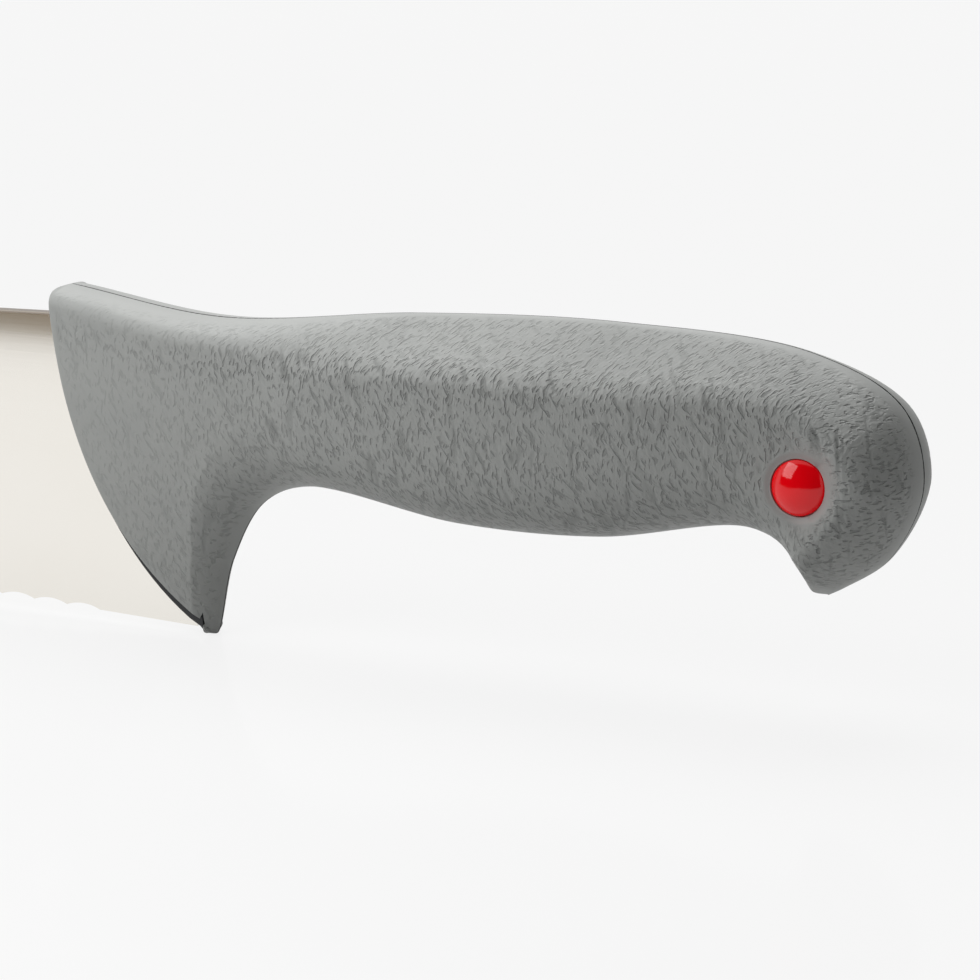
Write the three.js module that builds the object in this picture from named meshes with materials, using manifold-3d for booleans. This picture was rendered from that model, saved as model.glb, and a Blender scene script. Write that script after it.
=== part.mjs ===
// Fish knife: a scallop-edged steel blade in a moulded handle with a deep finger guard and a beak pommel.
// Millimetres, +Z up. The knife stands edge down on its guard foot, tip towards -X, butt towards +X.
// The origin is under the middle of the knife, on the floor, in the plane of the blade.
import * as THREE from "three";
import { mergeVertices } from "three/addons/utils/BufferGeometryUtils.js";
import Module from "manifold-3d";

// Blade: lengths run back and forth from the guard foot, heights run up from it.
const BLADE_LENGTH = 290; // front of the handle to the tip
const BLADE_THICKNESS = 2.5;
const EDGE_CLEARANCE = 1; // the heel of the edge above the floor
const EDGE_RISE = 1.73; // degrees, towards the tip
const SPINE_STEP = 4.5; // bolster top down to the spine
const SPINE_FALL = 1.8; // degrees, towards the tip
const TIP_DROP = 16; // spine at the handle down to the tip
const BELLY_LENGTH = 132; // stretch of the edge that sweeps up to the tip
const BELLY_KNEE_SHARE = 0.4; // share of that stretch between the tip and the knee of the sweep
const NOSE_LENGTH = 62; // stretch of the spine that bends down to the tip
const NOSE_KNEE_SHARE = 0.45; // share of that stretch between the tip and the knee of the bend
const HEEL_SETBACK = 1.65; // heel of the blade ahead of the guard foot

// Edge: ground on the far side of the blade only, with a row of hollows between two plain stretches.
const SCALLOP_PITCH = 6;
const SCALLOP_DEPTH = 0.6;
const GRIND_OVERLAP = 0.05; // each cut past the end of the next one
const GRIND_OVERCUT_SHARE = 0.25; // share of a cut's height that goes past both faces of the blade
const GRIND_ANGLE = 18; // degrees between the grind and the plane of the blade
const PLAIN_HEEL = 17.65; // edge with no hollows beside the guard
const PLAIN_TIP = 16; // edge with no hollows at the tip, at the least

// Tang: the tail of the blade inside the handle.
const TANG_REACH = 78; // end of the tang behind the guard foot
const TANG_DEPTH = 9.7; // spine down to the middle of the tang
const TANG_HEIGHT = 13.5; // at the guard
const TANG_END_HEIGHT = 9;
const TANG_STEP = 5; // full blade height kept behind the front of the handle
const TANG_SLOPE = 4; // length of the slope from the spine down to the tang

// Core: the hard dark moulding that wraps the tang and shows as a lip in front of the handle.
const CORE_CHEEK = 0.9; // wall on each side of the blade
const CORE_RIM = 1.3; // wall above and below the tang
const CORE_LIP = 1; // how far it stands out of the handle's front, at the guard
const CORE_LIP_TOP = 2.4; // the same at the bolster
const CORE_TOP = 2.6; // bolster top down to the top of the lip
const BLADE_FIT = 0.15; // core to blade, on every side
const CORE_FIT = 0.2; // handle to core, on every side

// Handle, in side view.
const HANDLE_REACH = 114; // butt behind the guard foot
const BOLSTER_REACH = 24.55; // handle front ahead of the guard foot
const BOLSTER_HEIGHT = 51.3; // guard foot to bolster top
const BOLSTER_CORNER = 0.7; // rounding of the top front corner
const FRONT_HOLLOW = 16.6; // height at which the front's upright and sweeping stretches would cross
const FRONT_LEAN = 3.8; // how much the front leans back over its upright stretch
const SADDLE_AT = 2.5;
const SADDLE_DROP = 3; // bolster top down to the saddle
const BACK_AT = 36;
const BACK_RISE = 0.2; // bolster top up to the grip above the fingers
const CREST_AT = 68;
const CREST_RISE = 1.4; // bolster top up to the highest point of the grip
const SHOULDER_TO_BUTT = 16.2;
const SHOULDER_DROP = 0.7; // bolster top down to the pommel's shoulder
const BUTT_DROP = 17.7; // bolster top down to the rearmost point
const BUTT_CORNER = 3.1; // rearmost point forward to the rounding above it
const BUTT_RISE = 10.5; // rearmost point up to the same place
const BUTT_UNDERCUT = 1.6; // rounding below the butt further forward than the one above
const GUARD_FOOT = 1; // length of the foot on the floor
const GUARD_NUB = 2.2; // height of the foot's square front
const GUARD_BACK = 3.9; // rear of the guard behind its foot, halfway up
const GUARD_BACK_HEIGHT = 11.4;
const GUARD_ROOT = 9.5; // where the guard runs into the grip
const GUARD_ROOT_DROP = 3.4; // neck down to that place
const NECK_AT = 18;
const NECK_DROP = 27; // bolster top down to the underside behind the guard
const PALM_FRONT_AT = 44;
const PALM_FRONT_DROP = 29.8; // bolster top down to the underside under the middle fingers
const PALM_REAR_AT = 66;
const PALM_REAR_DROP = 29.4; // bolster top down to the underside under the little finger
const NOTCH_TO_BUTT = 24.5;
const NOTCH_DROP = 25.6; // bolster top down to the underside in front of the beak
const BEAK_TO_BUTT = 13.6;
const BEAK_DROP = 8.6; // notch down to the beak's tip
const BEAK_FRONT = 3.2; // beak's tip forward to the middle of its front
const BEAK_FRONT_RISE = 5.4; // beak's tip up to the same place
const BEAK_TOE = 1.7; // beak's tip forward to the end of its rounding
const BEAK_TOE_RISE = 0.5;
const BEAK_HEEL = 2.4; // beak's tip back to the end of its rounding
const BEAK_HEEL_RISE = 1.3;

// Handle, in plan.
const BOLSTER_THICKNESS = 12;
const NECK_THICKNESS = 18.8;
const BELLY_AT = 55; // the thickest place of the grip
const BELLY_THICKNESS = 22;
const WAIST_THICKNESS = 18.6;
const GUARD_FOOT_THICKNESS = 4.6;
const GUARD_TAPER = 38; // height over which the guard thickens
const GUARD_TAPER_POWER = 1.6; // how much of the thickening waits for the upper part
const GUARD_FADE_AT = 24.5; // where the thinning has faded into the grip
const POMMEL_FLARE = 1.8; // swelling of each side towards the butt
const FLARE_START = 12; // from the butt's edge
const FLARE_END = 7;
const RIDGE_SOFTNESS = 2.2; // rounding between the sloping top and the upright side
const CREST_SOFTNESS = 0.8; // the same where the pommel swells
const UNDERSIDE_POWER = 3; // how soon the rounding below has made most of its turn

// Sections along the top line: depth of the sloping top, its rounding at the seam, share of the swelling.
const BOLSTER_SECTION = { facet: 5.8, crown: 15, flare: 0 };
const SADDLE_SECTION = { facet: 5, crown: 18, flare: 0 };
const BACK_SECTION = { facet: 7, crown: 1.2, flare: 0 };
const CREST_SECTION = { facet: 8.4, crown: 1.2, flare: 0 };
const SHOULDER_SECTION = { facet: 6, crown: 3.5, flare: 0.2 };
const UPPER_BUTT_SECTION = { facet: 8, crown: 11, flare: 1 };
const BUTT_SECTION = { facet: 9, crown: 15, flare: 1 };
const LOWER_BUTT_SECTION = { facet: 8, crown: 10, flare: 1 };
const BEAK_SECTION = { facet: 5, crown: 6, flare: 0.3 };

// Sections along the underside: how far up the side the rounding reaches, the share of its turn made there,
// and its bluntness, 0.5 being a round and 1 a flat slope. The rest of the turn is a ridge.
const FOOT_SECTION = { round: 1, turn: 1, blunt: 0.5 };
const FOOT_BACK_SECTION = { round: 3, turn: 0.45, blunt: 0.65 };
const GUARD_SECTION = { round: 4.4, turn: 0.42, blunt: 0.75 };
const ROOT_SECTION = { round: 8.5, turn: 0.6, blunt: 0.65 };
const NECK_SECTION = { round: 13, turn: 0.9, blunt: 0.5 };
const PALM_SECTION = { round: 15, turn: 1, blunt: 0.5 };
const NOTCH_SECTION = { round: 12, turn: 1, blunt: 0.5 };
const BEAK_FRONT_SECTION = { round: 4.5, turn: 1, blunt: 0.5 };
const BEAK_TIP_SECTION = { round: 4.5, turn: 1, blunt: 0.5 };

// Colour plugs: one pressed into each side of the pommel.
const PLUG_TO_BUTT = 14.6;
const PLUG_DROP = 17.55; // bolster top down to the plug
const PLUG_DIAMETER = 7.7;
const PLUG_RIM = 0.5; // upright edge of the head
const PLUG_DOME = 1.6;
const PLUG_POST_DIAMETER = 4.4;
const PLUG_POST_CHAMFER = 0.5;
const PLUG_SEAT_DEPTH = 0.6; // head sunk into the handle
const PLUG_FIT = 0.2; // handle to plug, all round
const PLUG_SEAT_GAP = 0.1;
const PLUG_POST_GAP = 0.6; // end of the post short of the seam

// Pegs: moulded inside each half, they lock it through the core and the tang.
const PEG_DIAMETER = 5;
const PEG_FIT = 0.3;
const PEG_COUNT = 3;
const FIRST_PEG_AT = 15;
const PEG_PITCH = 26;

// Fineness of the facets.
const COUNT_ALONG = 56;
const COUNT_BELOW_RIDGE = 11;
const COUNT_ABOVE_RIDGE = 5;
const RIDGE_TRY_COUNT = 14; // halvings of the search for the ridge
const RIDGE_SHARE = 0.5; // share of a line across the handle that stays below the ridge
const CROWDING_POWER = 1.5; // how much closer together the steps are at the underside
const OUTLINE_COUNT = 240;
const CURVE_COUNT = 24;
const ROUND_COUNT = 32;
const SCALLOP_COUNT = 4;
const DOME_COUNT = 4;
const WELD = 1e-4; // corners closer than this are one

// Finishes.
const STEEL = { color: 0xd9d7d2, metalness: 1, roughness: 0.22 };
const GRAINED_GREY = { color: 0x85878a, metalness: 0, roughness: 0.62 };
const DARK_PLASTIC = { color: 0x3b3d40, metalness: 0, roughness: 0.55 };
const SIGNAL_RED = { color: 0xd8121c, metalness: 0, roughness: 0.14 };

// Places worked out from the sizes above.
const handleFront = -BOLSTER_REACH;
const saddleTop = BOLSTER_HEIGHT - SADDLE_DROP;
const backTop = BOLSTER_HEIGHT + BACK_RISE;
const crestTop = BOLSTER_HEIGHT + CREST_RISE;
const shoulderTop = BOLSTER_HEIGHT - SHOULDER_DROP;
const buttHeight = BOLSTER_HEIGHT - BUTT_DROP;
const neckFloor = BOLSTER_HEIGHT - NECK_DROP;
const palmFrontFloor = BOLSTER_HEIGHT - PALM_FRONT_DROP;
const palmRearFloor = BOLSTER_HEIGHT - PALM_REAR_DROP;
const notchFloor = BOLSTER_HEIGHT - NOTCH_DROP;
const notchAt = HANDLE_REACH - NOTCH_TO_BUTT;
const beakAt = HANDLE_REACH - BEAK_TO_BUTT;
const beakFloor = notchFloor - BEAK_DROP;
const spineHeight = BOLSTER_HEIGHT - SPINE_STEP;
const tipAt = handleFront - BLADE_LENGTH;
const tipHeight = spineHeight - TIP_DROP;
const heelAt = -HEEL_SETBACK;
const tangMiddle = spineHeight - TANG_DEPTH;
const coreGrowth = BLADE_FIT + CORE_RIM;
const coreThickness = BLADE_THICKNESS + 2 * (BLADE_FIT + CORE_CHEEK);
const pocketThickness = coreThickness + 2 * CORE_FIT;
const nubFront = heelAt + coreGrowth + CORE_FIT;
const plugAt = HANDLE_REACH - PLUG_TO_BUTT;
const plugHeight = BOLSTER_HEIGHT - PLUG_DROP;

const wasm = await Module();
wasm.setup();

// A closed geometry as a solid that can be joined and cut.
function solidOf(geometry) {
  const bare = geometry.index ? geometry.toNonIndexed() : geometry.clone();
  bare.deleteAttribute("normal");
  bare.deleteAttribute("uv");
  const merged = mergeVertices(bare, WELD);
  const corners = merged.index.array;
  const kept = [];
  for (let i = 0; i < corners.length; i += 3) {
    const [a, b, c] = [corners[i], corners[i + 1], corners[i + 2]];
    if (a !== b && b !== c && a !== c) kept.push(a, b, c);
  }
  const vertProperties = merged.attributes.position.array;
  const mesh = new wasm.Mesh({ numProp: 3, vertProperties, triVerts: new Uint32Array(kept) });
  return new wasm.Manifold(mesh);
}

// A solid back as a geometry with flat facets.
function geometryOf(solid) {
  const made = solid.getMesh();
  const indexed = new THREE.BufferGeometry();
  indexed.setAttribute("position", new THREE.BufferAttribute(new Float32Array(made.vertProperties), 3));
  indexed.setIndex(new THREE.BufferAttribute(new Uint32Array(made.triVerts), 1));
  const geometry = indexed.toNonIndexed();
  geometry.computeVertexNormals();
  return geometry;
}

// A plate with a side view outline, lying evenly about the plane of the blade.
function plateOf(shape, thickness) {
  const geometry = new THREE.ExtrudeGeometry(shape, {
    depth: thickness,
    bevelEnabled: false,
    curveSegments: CURVE_COUNT,
  });
  geometry.rotateX(Math.PI / 2);
  geometry.translate(0, thickness / 2, 0);
  return solidOf(geometry);
}

// A round bar across the knife at a place in side view, from one depth to another.
function crossBar(x, z, radius, fromY, toY) {
  const geometry = new THREE.CylinderGeometry(radius, radius, toY - fromY, ROUND_COUNT);
  geometry.translate(x, (fromY + toY) / 2, z);
  return solidOf(geometry);
}

function slopeAlong(degrees, run) {
  return Math.tan(THREE.MathUtils.degToRad(degrees)) * run;
}

// The peg places, in side view.
const pegs = Array.from(
  { length: PEG_COUNT },
  (_, i) => new THREE.Vector2(FIRST_PEG_AT + i * PEG_PITCH, tangMiddle),
);

// Cutting edge, from the heel to the tip: straight first, then sweeping up.
function edgePath() {
  const bend = tipAt + BELLY_LENGTH;
  const edgeAt = (x) => EDGE_CLEARANCE + slopeAlong(EDGE_RISE, heelAt - x);
  const knee = tipAt + BELLY_LENGTH * BELLY_KNEE_SHARE;
  const path = new THREE.Path();
  path.moveTo(heelAt, EDGE_CLEARANCE);
  path.lineTo(bend, edgeAt(bend));
  path.quadraticCurveTo(knee, edgeAt(knee), tipAt, tipHeight);
  return path;
}

// The blade and tang in side view, grown outwards by a margin everywhere behind the handle's front.
function tangCorners(growth) {
  const half = TANG_HEIGHT / 2 + growth;
  const endHalf = TANG_END_HEIGHT / 2 + growth;
  const step = handleFront + TANG_STEP + growth;
  return [
    [step, spineHeight + growth],
    [step + TANG_SLOPE, tangMiddle + half],
    [TANG_REACH + growth, tangMiddle + endHalf],
    [TANG_REACH + growth, tangMiddle - endHalf],
    [heelAt + growth + TANG_SLOPE, tangMiddle - half],
    [heelAt + growth, tangMiddle - half - TANG_SLOPE],
  ];
}

function bladeShape() {
  const bend = tipAt + NOSE_LENGTH;
  const knee = tipAt + NOSE_LENGTH * NOSE_KNEE_SHARE;
  const spineAt = (x) => spineHeight - slopeAlong(SPINE_FALL, handleFront - x);
  const shape = new THREE.Shape();
  shape.setFromPoints(edgePath().getPoints(CURVE_COUNT));
  shape.quadraticCurveTo(knee, spineAt(knee), bend, spineAt(bend));
  shape.lineTo(handleFront, spineHeight);
  tangCorners(0).forEach(([x, z]) => shape.lineTo(x, z));
  shape.closePath();
  pegs.forEach(({ x, y }) => {
    shape.holes.push(new THREE.Path().absarc(x, y, PEG_DIAMETER / 2 + PEG_FIT, 0, 2 * Math.PI));
  });
  return shape;
}

// One cut of the grind, as a geometry that climbs from the near face to the far one, hollowed by a depth.
function grindCut(length, depth) {
  const grind = THREE.MathUtils.degToRad(GRIND_ANGLE);
  const sink = depth * Math.sin(grind);
  const half = length / 2;
  const reach = half + GRIND_OVERLAP;
  const shape = new THREE.Shape();
  shape.moveTo(-reach, 2 * BLADE_THICKNESS);
  for (let i = 0; i <= SCALLOP_COUNT; i++) {
    const x = THREE.MathUtils.lerp(-reach, reach, i / SCALLOP_COUNT);
    shape.lineTo(x, sink * ((x / half) ** 2 - 1));
  }
  shape.lineTo(reach, 2 * BLADE_THICKNESS);
  shape.closePath();
  const climb = BLADE_THICKNESS / Math.sin(grind);
  const geometry = new THREE.ExtrudeGeometry(shape, {
    depth: climb * (1 + 2 * GRIND_OVERCUT_SHARE),
    bevelEnabled: false,
  });
  geometry.translate(0, 0, -climb * GRIND_OVERCUT_SHARE);
  return geometry;
}

// A cut of the grind in its place, a way along the edge from the heel.
function grindAt(path, middle, length, depth) {
  const grind = THREE.MathUtils.degToRad(GRIND_ANGLE);
  const share = middle / path.getLength();
  const at = path.getPointAt(share);
  const way = path.getTangentAt(share);
  const across = new THREE.Vector3(0, 1, 0);
  const inward = new THREE.Vector3(way.y, 0, -way.x);
  const side = new THREE.Vector3().crossVectors(across, inward);
  const place = new THREE.Matrix4().makeBasis(
    side,
    across.applyAxisAngle(side, -grind),
    inward.applyAxisAngle(side, -grind),
  );
  place.setPosition(at.x, -BLADE_THICKNESS / 2, at.y);
  return solidOf(grindCut(length, depth).applyMatrix4(place));
}

// The whole grind: plain at the heel, hollowed along the middle, plain at the tip.
function grindAlong() {
  const path = edgePath();
  const length = path.getLength();
  const count = Math.floor((length - PLAIN_HEEL - PLAIN_TIP) / SCALLOP_PITCH);
  const plainTip = length - PLAIN_HEEL - count * SCALLOP_PITCH;
  const cuts = [
    grindAt(path, PLAIN_HEEL / 2, PLAIN_HEEL, 0),
    grindAt(path, length - plainTip / 2, plainTip, 0),
  ];
  for (let i = 0; i < count; i++) {
    cuts.push(grindAt(path, PLAIN_HEEL + (i + 0.5) * SCALLOP_PITCH, SCALLOP_PITCH, SCALLOP_DEPTH));
  }
  return cuts.reduce((all, next) => all.add(next));
}

function bladeGeometry() {
  return geometryOf(plateOf(bladeShape(), BLADE_THICKNESS).subtract(grindAlong()));
}

// Front of the handle, from the floor up: the square foot, the long sweep and the rounded top corner.
function frontPath() {
  const corner = BOLSTER_HEIGHT - BOLSTER_CORNER;
  const path = new THREE.Path();
  path.moveTo(nubFront, 0);
  path.lineTo(nubFront, GUARD_NUB);
  path.quadraticCurveTo(handleFront + FRONT_LEAN, FRONT_HOLLOW, handleFront, corner);
  path.quadraticCurveTo(handleFront, BOLSTER_HEIGHT, handleFront + BOLSTER_CORNER, BOLSTER_HEIGHT);
  return path;
}

const front = frontPath();

// A smooth chain of places with a value set at each of them, measured by the nearest point of its line.
class Chain {
  constructor(places) {
    this.values = places.map(({ value }) => value);
    const points = places.map(({ at: [x, z] }) => new THREE.Vector3(x, 0, z));
    this.curve = new THREE.CatmullRomCurve3(points, false, "centripetal");
    this.line = Array.from({ length: OUTLINE_COUNT + 1 }, (_, i) => this.curve.getPoint(i / OUTLINE_COUNT));
  }

  // The point a given number of places along, such as 2.5 for halfway between the third and the fourth.
  pointAt(place) {
    const point = this.curve.getPoint(place / (this.values.length - 1));
    return new THREE.Vector2(point.x, point.z);
  }

  // Distance from a point to the chain, and each value there.
  nearest(x, z) {
    const point = new THREE.Vector3(x, 0, z);
    const foot = new THREE.Vector3();
    const piece = new THREE.Line3();
    let best = { distance: Infinity, t: 0 };
    for (let i = 0; i < OUTLINE_COUNT; i++) {
      piece.set(this.line[i], this.line[i + 1]);
      const along = piece.closestPointToPointParameter(point, true);
      const distance = piece.at(along, foot).distanceTo(point);
      if (distance < best.distance) best = { distance, t: (i + along) / OUTLINE_COUNT };
    }
    const place = best.t * (this.values.length - 1);
    const low = Math.min(Math.floor(place), this.values.length - 2);
    const mixed = {};
    for (const key of Object.keys(this.values[low])) {
      mixed[key] = THREE.MathUtils.lerp(this.values[low][key], this.values[low + 1][key], place - low);
    }
    return { distance: best.distance, ...mixed };
  }
}

// Top line, round the butt to the beak's tip.
const topLine = new Chain([
  { at: [handleFront + BOLSTER_CORNER, BOLSTER_HEIGHT], value: BOLSTER_SECTION },
  { at: [SADDLE_AT, saddleTop], value: SADDLE_SECTION },
  { at: [BACK_AT, backTop], value: BACK_SECTION },
  { at: [CREST_AT, crestTop], value: CREST_SECTION },
  { at: [HANDLE_REACH - SHOULDER_TO_BUTT, shoulderTop], value: SHOULDER_SECTION },
  { at: [HANDLE_REACH - BUTT_CORNER, buttHeight + BUTT_RISE], value: UPPER_BUTT_SECTION },
  { at: [HANDLE_REACH, buttHeight], value: BUTT_SECTION },
  { at: [HANDLE_REACH - BUTT_CORNER - BUTT_UNDERCUT, buttHeight - BUTT_RISE], value: LOWER_BUTT_SECTION },
  { at: [beakAt + BEAK_HEEL, beakFloor + BEAK_HEEL_RISE], value: BEAK_SECTION },
  { at: [beakAt, beakFloor], value: BEAK_SECTION },
]);

// Underside, from the guard's foot to the beak's tip.
const underside = new Chain([
  { at: [nubFront, 0], value: FOOT_SECTION },
  { at: [nubFront + GUARD_FOOT, 0], value: FOOT_BACK_SECTION },
  { at: [GUARD_BACK, GUARD_BACK_HEIGHT], value: GUARD_SECTION },
  { at: [GUARD_ROOT, neckFloor - GUARD_ROOT_DROP], value: ROOT_SECTION },
  { at: [NECK_AT, neckFloor], value: NECK_SECTION },
  { at: [PALM_FRONT_AT, palmFrontFloor], value: PALM_SECTION },
  { at: [PALM_REAR_AT, palmRearFloor], value: PALM_SECTION },
  { at: [notchAt, notchFloor], value: NOTCH_SECTION },
  { at: [beakAt - BEAK_FRONT, beakFloor + BEAK_FRONT_RISE], value: BEAK_FRONT_SECTION },
  { at: [beakAt - BEAK_TOE, beakFloor + BEAK_TOE_RISE], value: BEAK_TIP_SECTION },
  { at: [beakAt, beakFloor], value: BEAK_TIP_SECTION },
]);

// Which place along the underside faces which place along the top.
const PAIRS = [
  [0, 0],
  [3.4, 1],
  [4.7, 2],
  [6.1, 3],
  [7.3, 4],
  [8.3, 5],
  [9, 6],
  [9.45, 7],
  [9.8, 8],
  [10, 9],
];

// Half of the handle's thickness in plan, before its edges are rounded.
const plan = new THREE.SplineCurve([
  new THREE.Vector2(handleFront, BOLSTER_THICKNESS / 2),
  new THREE.Vector2(NECK_AT, NECK_THICKNESS / 2),
  new THREE.Vector2(BELLY_AT, BELLY_THICKNESS / 2),
  new THREE.Vector2(plugAt, WAIST_THICKNESS / 2),
  new THREE.Vector2(HANDLE_REACH, WAIST_THICKNESS / 2),
]);
const planLine = plan.getPoints(OUTLINE_COUNT);

function planHalf(x) {
  const next = planLine.findIndex((point) => point.x > x);
  if (next === 0) return planLine[0].y;
  if (next < 0) return planLine.at(-1).y;
  const [a, b] = [planLine[next - 1], planLine[next]];
  return THREE.MathUtils.mapLinear(x, a.x, b.x, a.y, b.y);
}

// The lesser of two sizes, with the change from one to the other rounded off.
function softLesser(a, b, softness) {
  const near = Math.max(softness - Math.abs(a - b), 0);
  return Math.min(a, b) - (near * near) / (4 * softness);
}

// Distance from the seam to the handle's skin at a place in side view.
function skinHalf(x, z) {
  const top = topLine.nearest(x, z);
  const bottom = underside.nearest(x, z);
  const wide = planHalf(x);
  const inGuard = 1 - THREE.MathUtils.smoothstep(x, GUARD_ROOT, GUARD_FADE_AT);
  const taper = Math.max(1 - z / GUARD_TAPER, 0) ** GUARD_TAPER_POWER * inGuard;
  const side = THREE.MathUtils.lerp(wide, GUARD_FOOT_THICKNESS / 2, taper);
  const swell = 1 - THREE.MathUtils.smoothstep(top.distance, FLARE_END, FLARE_START);
  const full = side + POMMEL_FLARE * top.flare * swell;
  const bend = (full * full - 2 * top.crown * top.facet) / (top.facet * top.facet);
  const reach = bend < 0 ? Math.min(top.distance, -top.crown / bend) : top.distance;
  const slope = Math.sqrt(Math.max(2 * top.crown * reach + bend * reach * reach, 0));
  const fromFloor = Math.min(bottom.distance / bottom.round, 1) * bottom.turn;
  const turned = 1 - (1 - fromFloor) ** UNDERSIDE_POWER;
  const rounding = (turned / (1 - (1 - bottom.turn) ** UNDERSIDE_POWER)) ** bottom.blunt;
  const softness = THREE.MathUtils.lerp(RIDGE_SOFTNESS, CREST_SOFTNESS, top.flare);
  return softLesser(full, slope, softness) * rounding;
}

// A place in side view: along runs from the front to the beak, across from the underside to the top.
function sidePlace(along, across) {
  const step = along * (PAIRS.length - 1);
  const low = Math.min(Math.floor(step), PAIRS.length - 2);
  const under = THREE.MathUtils.lerp(PAIRS[low][0], PAIRS[low + 1][0], step - low);
  const over = THREE.MathUtils.lerp(PAIRS[low][1], PAIRS[low + 1][1], step - low);
  const place = underside.pointAt(under).lerp(topLine.pointAt(over), across);
  const straight = underside.pointAt(0).lerp(topLine.pointAt(0), across);
  const pull = Math.max(1 - step, 0) ** 2;
  return place.addScaledVector(front.getPointAt(across).sub(straight), pull);
}

// How far up one line across the handle the ridge between side and sloping top lies.
function ridgeAcross(along) {
  let [low, high] = [RIDGE_SHARE, 1];
  for (let i = 0; i < RIDGE_TRY_COUNT; i++) {
    const middle = (low + high) / 2;
    const { x, y: z } = sidePlace(along, middle);
    const top = topLine.nearest(x, z);
    if (top.distance > top.facet) low = middle;
    else high = middle;
  }
  return low;
}

// Steps across the handle, closest together at the underside and at the seam on top.
function stepsAcross(along) {
  const ridge = ridgeAcross(along);
  const steps = [];
  for (let j = 0; j < COUNT_BELOW_RIDGE; j++) {
    steps.push(ridge * (j / COUNT_BELOW_RIDGE) ** CROWDING_POWER);
  }
  for (let j = 0; j <= COUNT_ABOVE_RIDGE; j++) {
    steps.push(THREE.MathUtils.lerp(ridge, 1, Math.sin((Math.PI / 2) * (j / COUNT_ABOVE_RIDGE))));
  }
  return steps;
}

// The near half of the handle with nothing cut into it: its skin, and its flat face on the seam.
function halfBlank() {
  const skin = [];
  const seam = [];
  for (let i = 0; i <= COUNT_ALONG; i++) {
    const along = i / COUNT_ALONG;
    const places = stepsAcross(along).map((across) => sidePlace(along, across));
    const last = places.length - 1;
    seam.push(places.map(({ x, y: z }) => [x, 0, z]));
    skin.push(
      places.map(({ x, y: z }, j) => {
        const onSeam = i === COUNT_ALONG || j === 0 || j === last;
        return [x, onSeam ? 0 : -skinHalf(x, z), z];
      }),
    );
  }
  const corners = [];
  const quad = (a, b, c, d) => corners.push(...a, ...b, ...c, ...a, ...c, ...d);
  for (let j = 0; j < seam[0].length - 1; j++) {
    quad(seam[0][j], skin[0][j], skin[0][j + 1], seam[0][j + 1]);
    for (let i = 0; i < COUNT_ALONG; i++) {
      quad(skin[i][j], skin[i + 1][j], skin[i + 1][j + 1], skin[i][j + 1]);
    }
  }
  const below = seam.map((row) => row[0]);
  const above = seam.map((row) => row.at(-1)).reverse();
  const rim = [...below, ...above, ...seam[0].slice(1, -1).reverse()];
  const loop = rim.map(([x, , z]) => new THREE.Vector2(x, z));
  THREE.ShapeUtils.triangulateShape(loop, []).forEach(([a, b, c]) => {
    corners.push(...rim[a], ...rim[c], ...rim[b]);
  });
  const geometry = new THREE.BufferGeometry();
  geometry.setAttribute("position", new THREE.Float32BufferAttribute(corners, 3));
  return solidOf(geometry);
}

// The room that the core takes inside the handle, with its clearance, less the pegs that cross it.
function corePocket() {
  const growth = coreGrowth + CORE_FIT;
  const ahead = handleFront - BOLSTER_REACH;
  const shape = new THREE.Shape();
  shape.moveTo(ahead, spineHeight + growth);
  tangCorners(growth).forEach(([x, z]) => shape.lineTo(x, z));
  shape.lineTo(heelAt + growth, -GUARD_NUB);
  shape.lineTo(ahead, -GUARD_NUB);
  shape.closePath();
  const pocket = plateOf(shape, pocketThickness);
  const peg = PEG_DIAMETER / 2;
  return pegs.reduce(
    (left, { x, y }) => left.subtract(crossBar(x, y, peg, -pocketThickness, pocketThickness)),
    pocket,
  );
}

const plugSeat = skinHalf(plugAt, plugHeight) - PLUG_SEAT_DEPTH;

function handleHalfGeometry() {
  const outside = BELLY_THICKNESS;
  const bore = crossBar(plugAt, plugHeight, PLUG_POST_DIAMETER / 2 + PLUG_FIT, -outside, outside);
  const seat = crossBar(plugAt, plugHeight, PLUG_DIAMETER / 2 + PLUG_FIT, -outside, -plugSeat);
  return geometryOf(halfBlank().subtract(corePocket()).subtract(bore).subtract(seat));
}

// The core in side view: a lip that follows the handle's front, and a sleeve round the tang.
function coreShape() {
  const sweep = front.curves[1];
  const heelLine = heelAt + coreGrowth;
  const lip = [];
  for (let i = 0; i <= CURVE_COUNT; i++) {
    const up = 1 - i / CURVE_COUNT;
    const at = sweep.getPoint(up);
    const way = sweep.getTangent(up);
    const out = THREE.MathUtils.lerp(CORE_LIP, CORE_LIP_TOP, Math.sqrt(up));
    lip.push(new THREE.Vector2(at.x - way.y * out, at.y + way.x * out));
  }
  const shape = new THREE.Shape();
  const top = BOLSTER_HEIGHT - CORE_TOP;
  const shown = lip.filter((point) => point.x < heelLine && point.y < top);
  shape.moveTo(handleFront - CORE_FIT, top);
  shape.lineTo(shown[0].x, top);
  shown.forEach((point) => shape.lineTo(point.x, point.y));
  shape.lineTo(heelLine, EDGE_CLEARANCE);
  tangCorners(coreGrowth)
    .reverse()
    .forEach(([x, z]) => shape.lineTo(x, z));
  shape.lineTo(handleFront - CORE_FIT, spineHeight + coreGrowth);
  shape.closePath();
  return shape;
}

// The slot in the core that the blade fills, with its clearance.
function bladeSlot() {
  const ahead = handleFront - BOLSTER_REACH;
  const shape = new THREE.Shape();
  shape.moveTo(ahead, spineHeight + BLADE_FIT);
  tangCorners(BLADE_FIT).forEach(([x, z]) => shape.lineTo(x, z));
  shape.lineTo(heelAt + BLADE_FIT, -GUARD_NUB);
  shape.lineTo(ahead, -GUARD_NUB);
  shape.closePath();
  return plateOf(shape, BLADE_THICKNESS + 2 * BLADE_FIT);
}

function coreGeometry() {
  const sleeve = plateOf(coreShape(), coreThickness).subtract(bladeSlot());
  const hole = PEG_DIAMETER / 2 + PEG_FIT;
  const drilled = pegs.reduce(
    (left, { x, y }) => left.subtract(crossBar(x, y, hole, -coreThickness, coreThickness)),
    sleeve,
  );
  return geometryOf(drilled);
}

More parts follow.
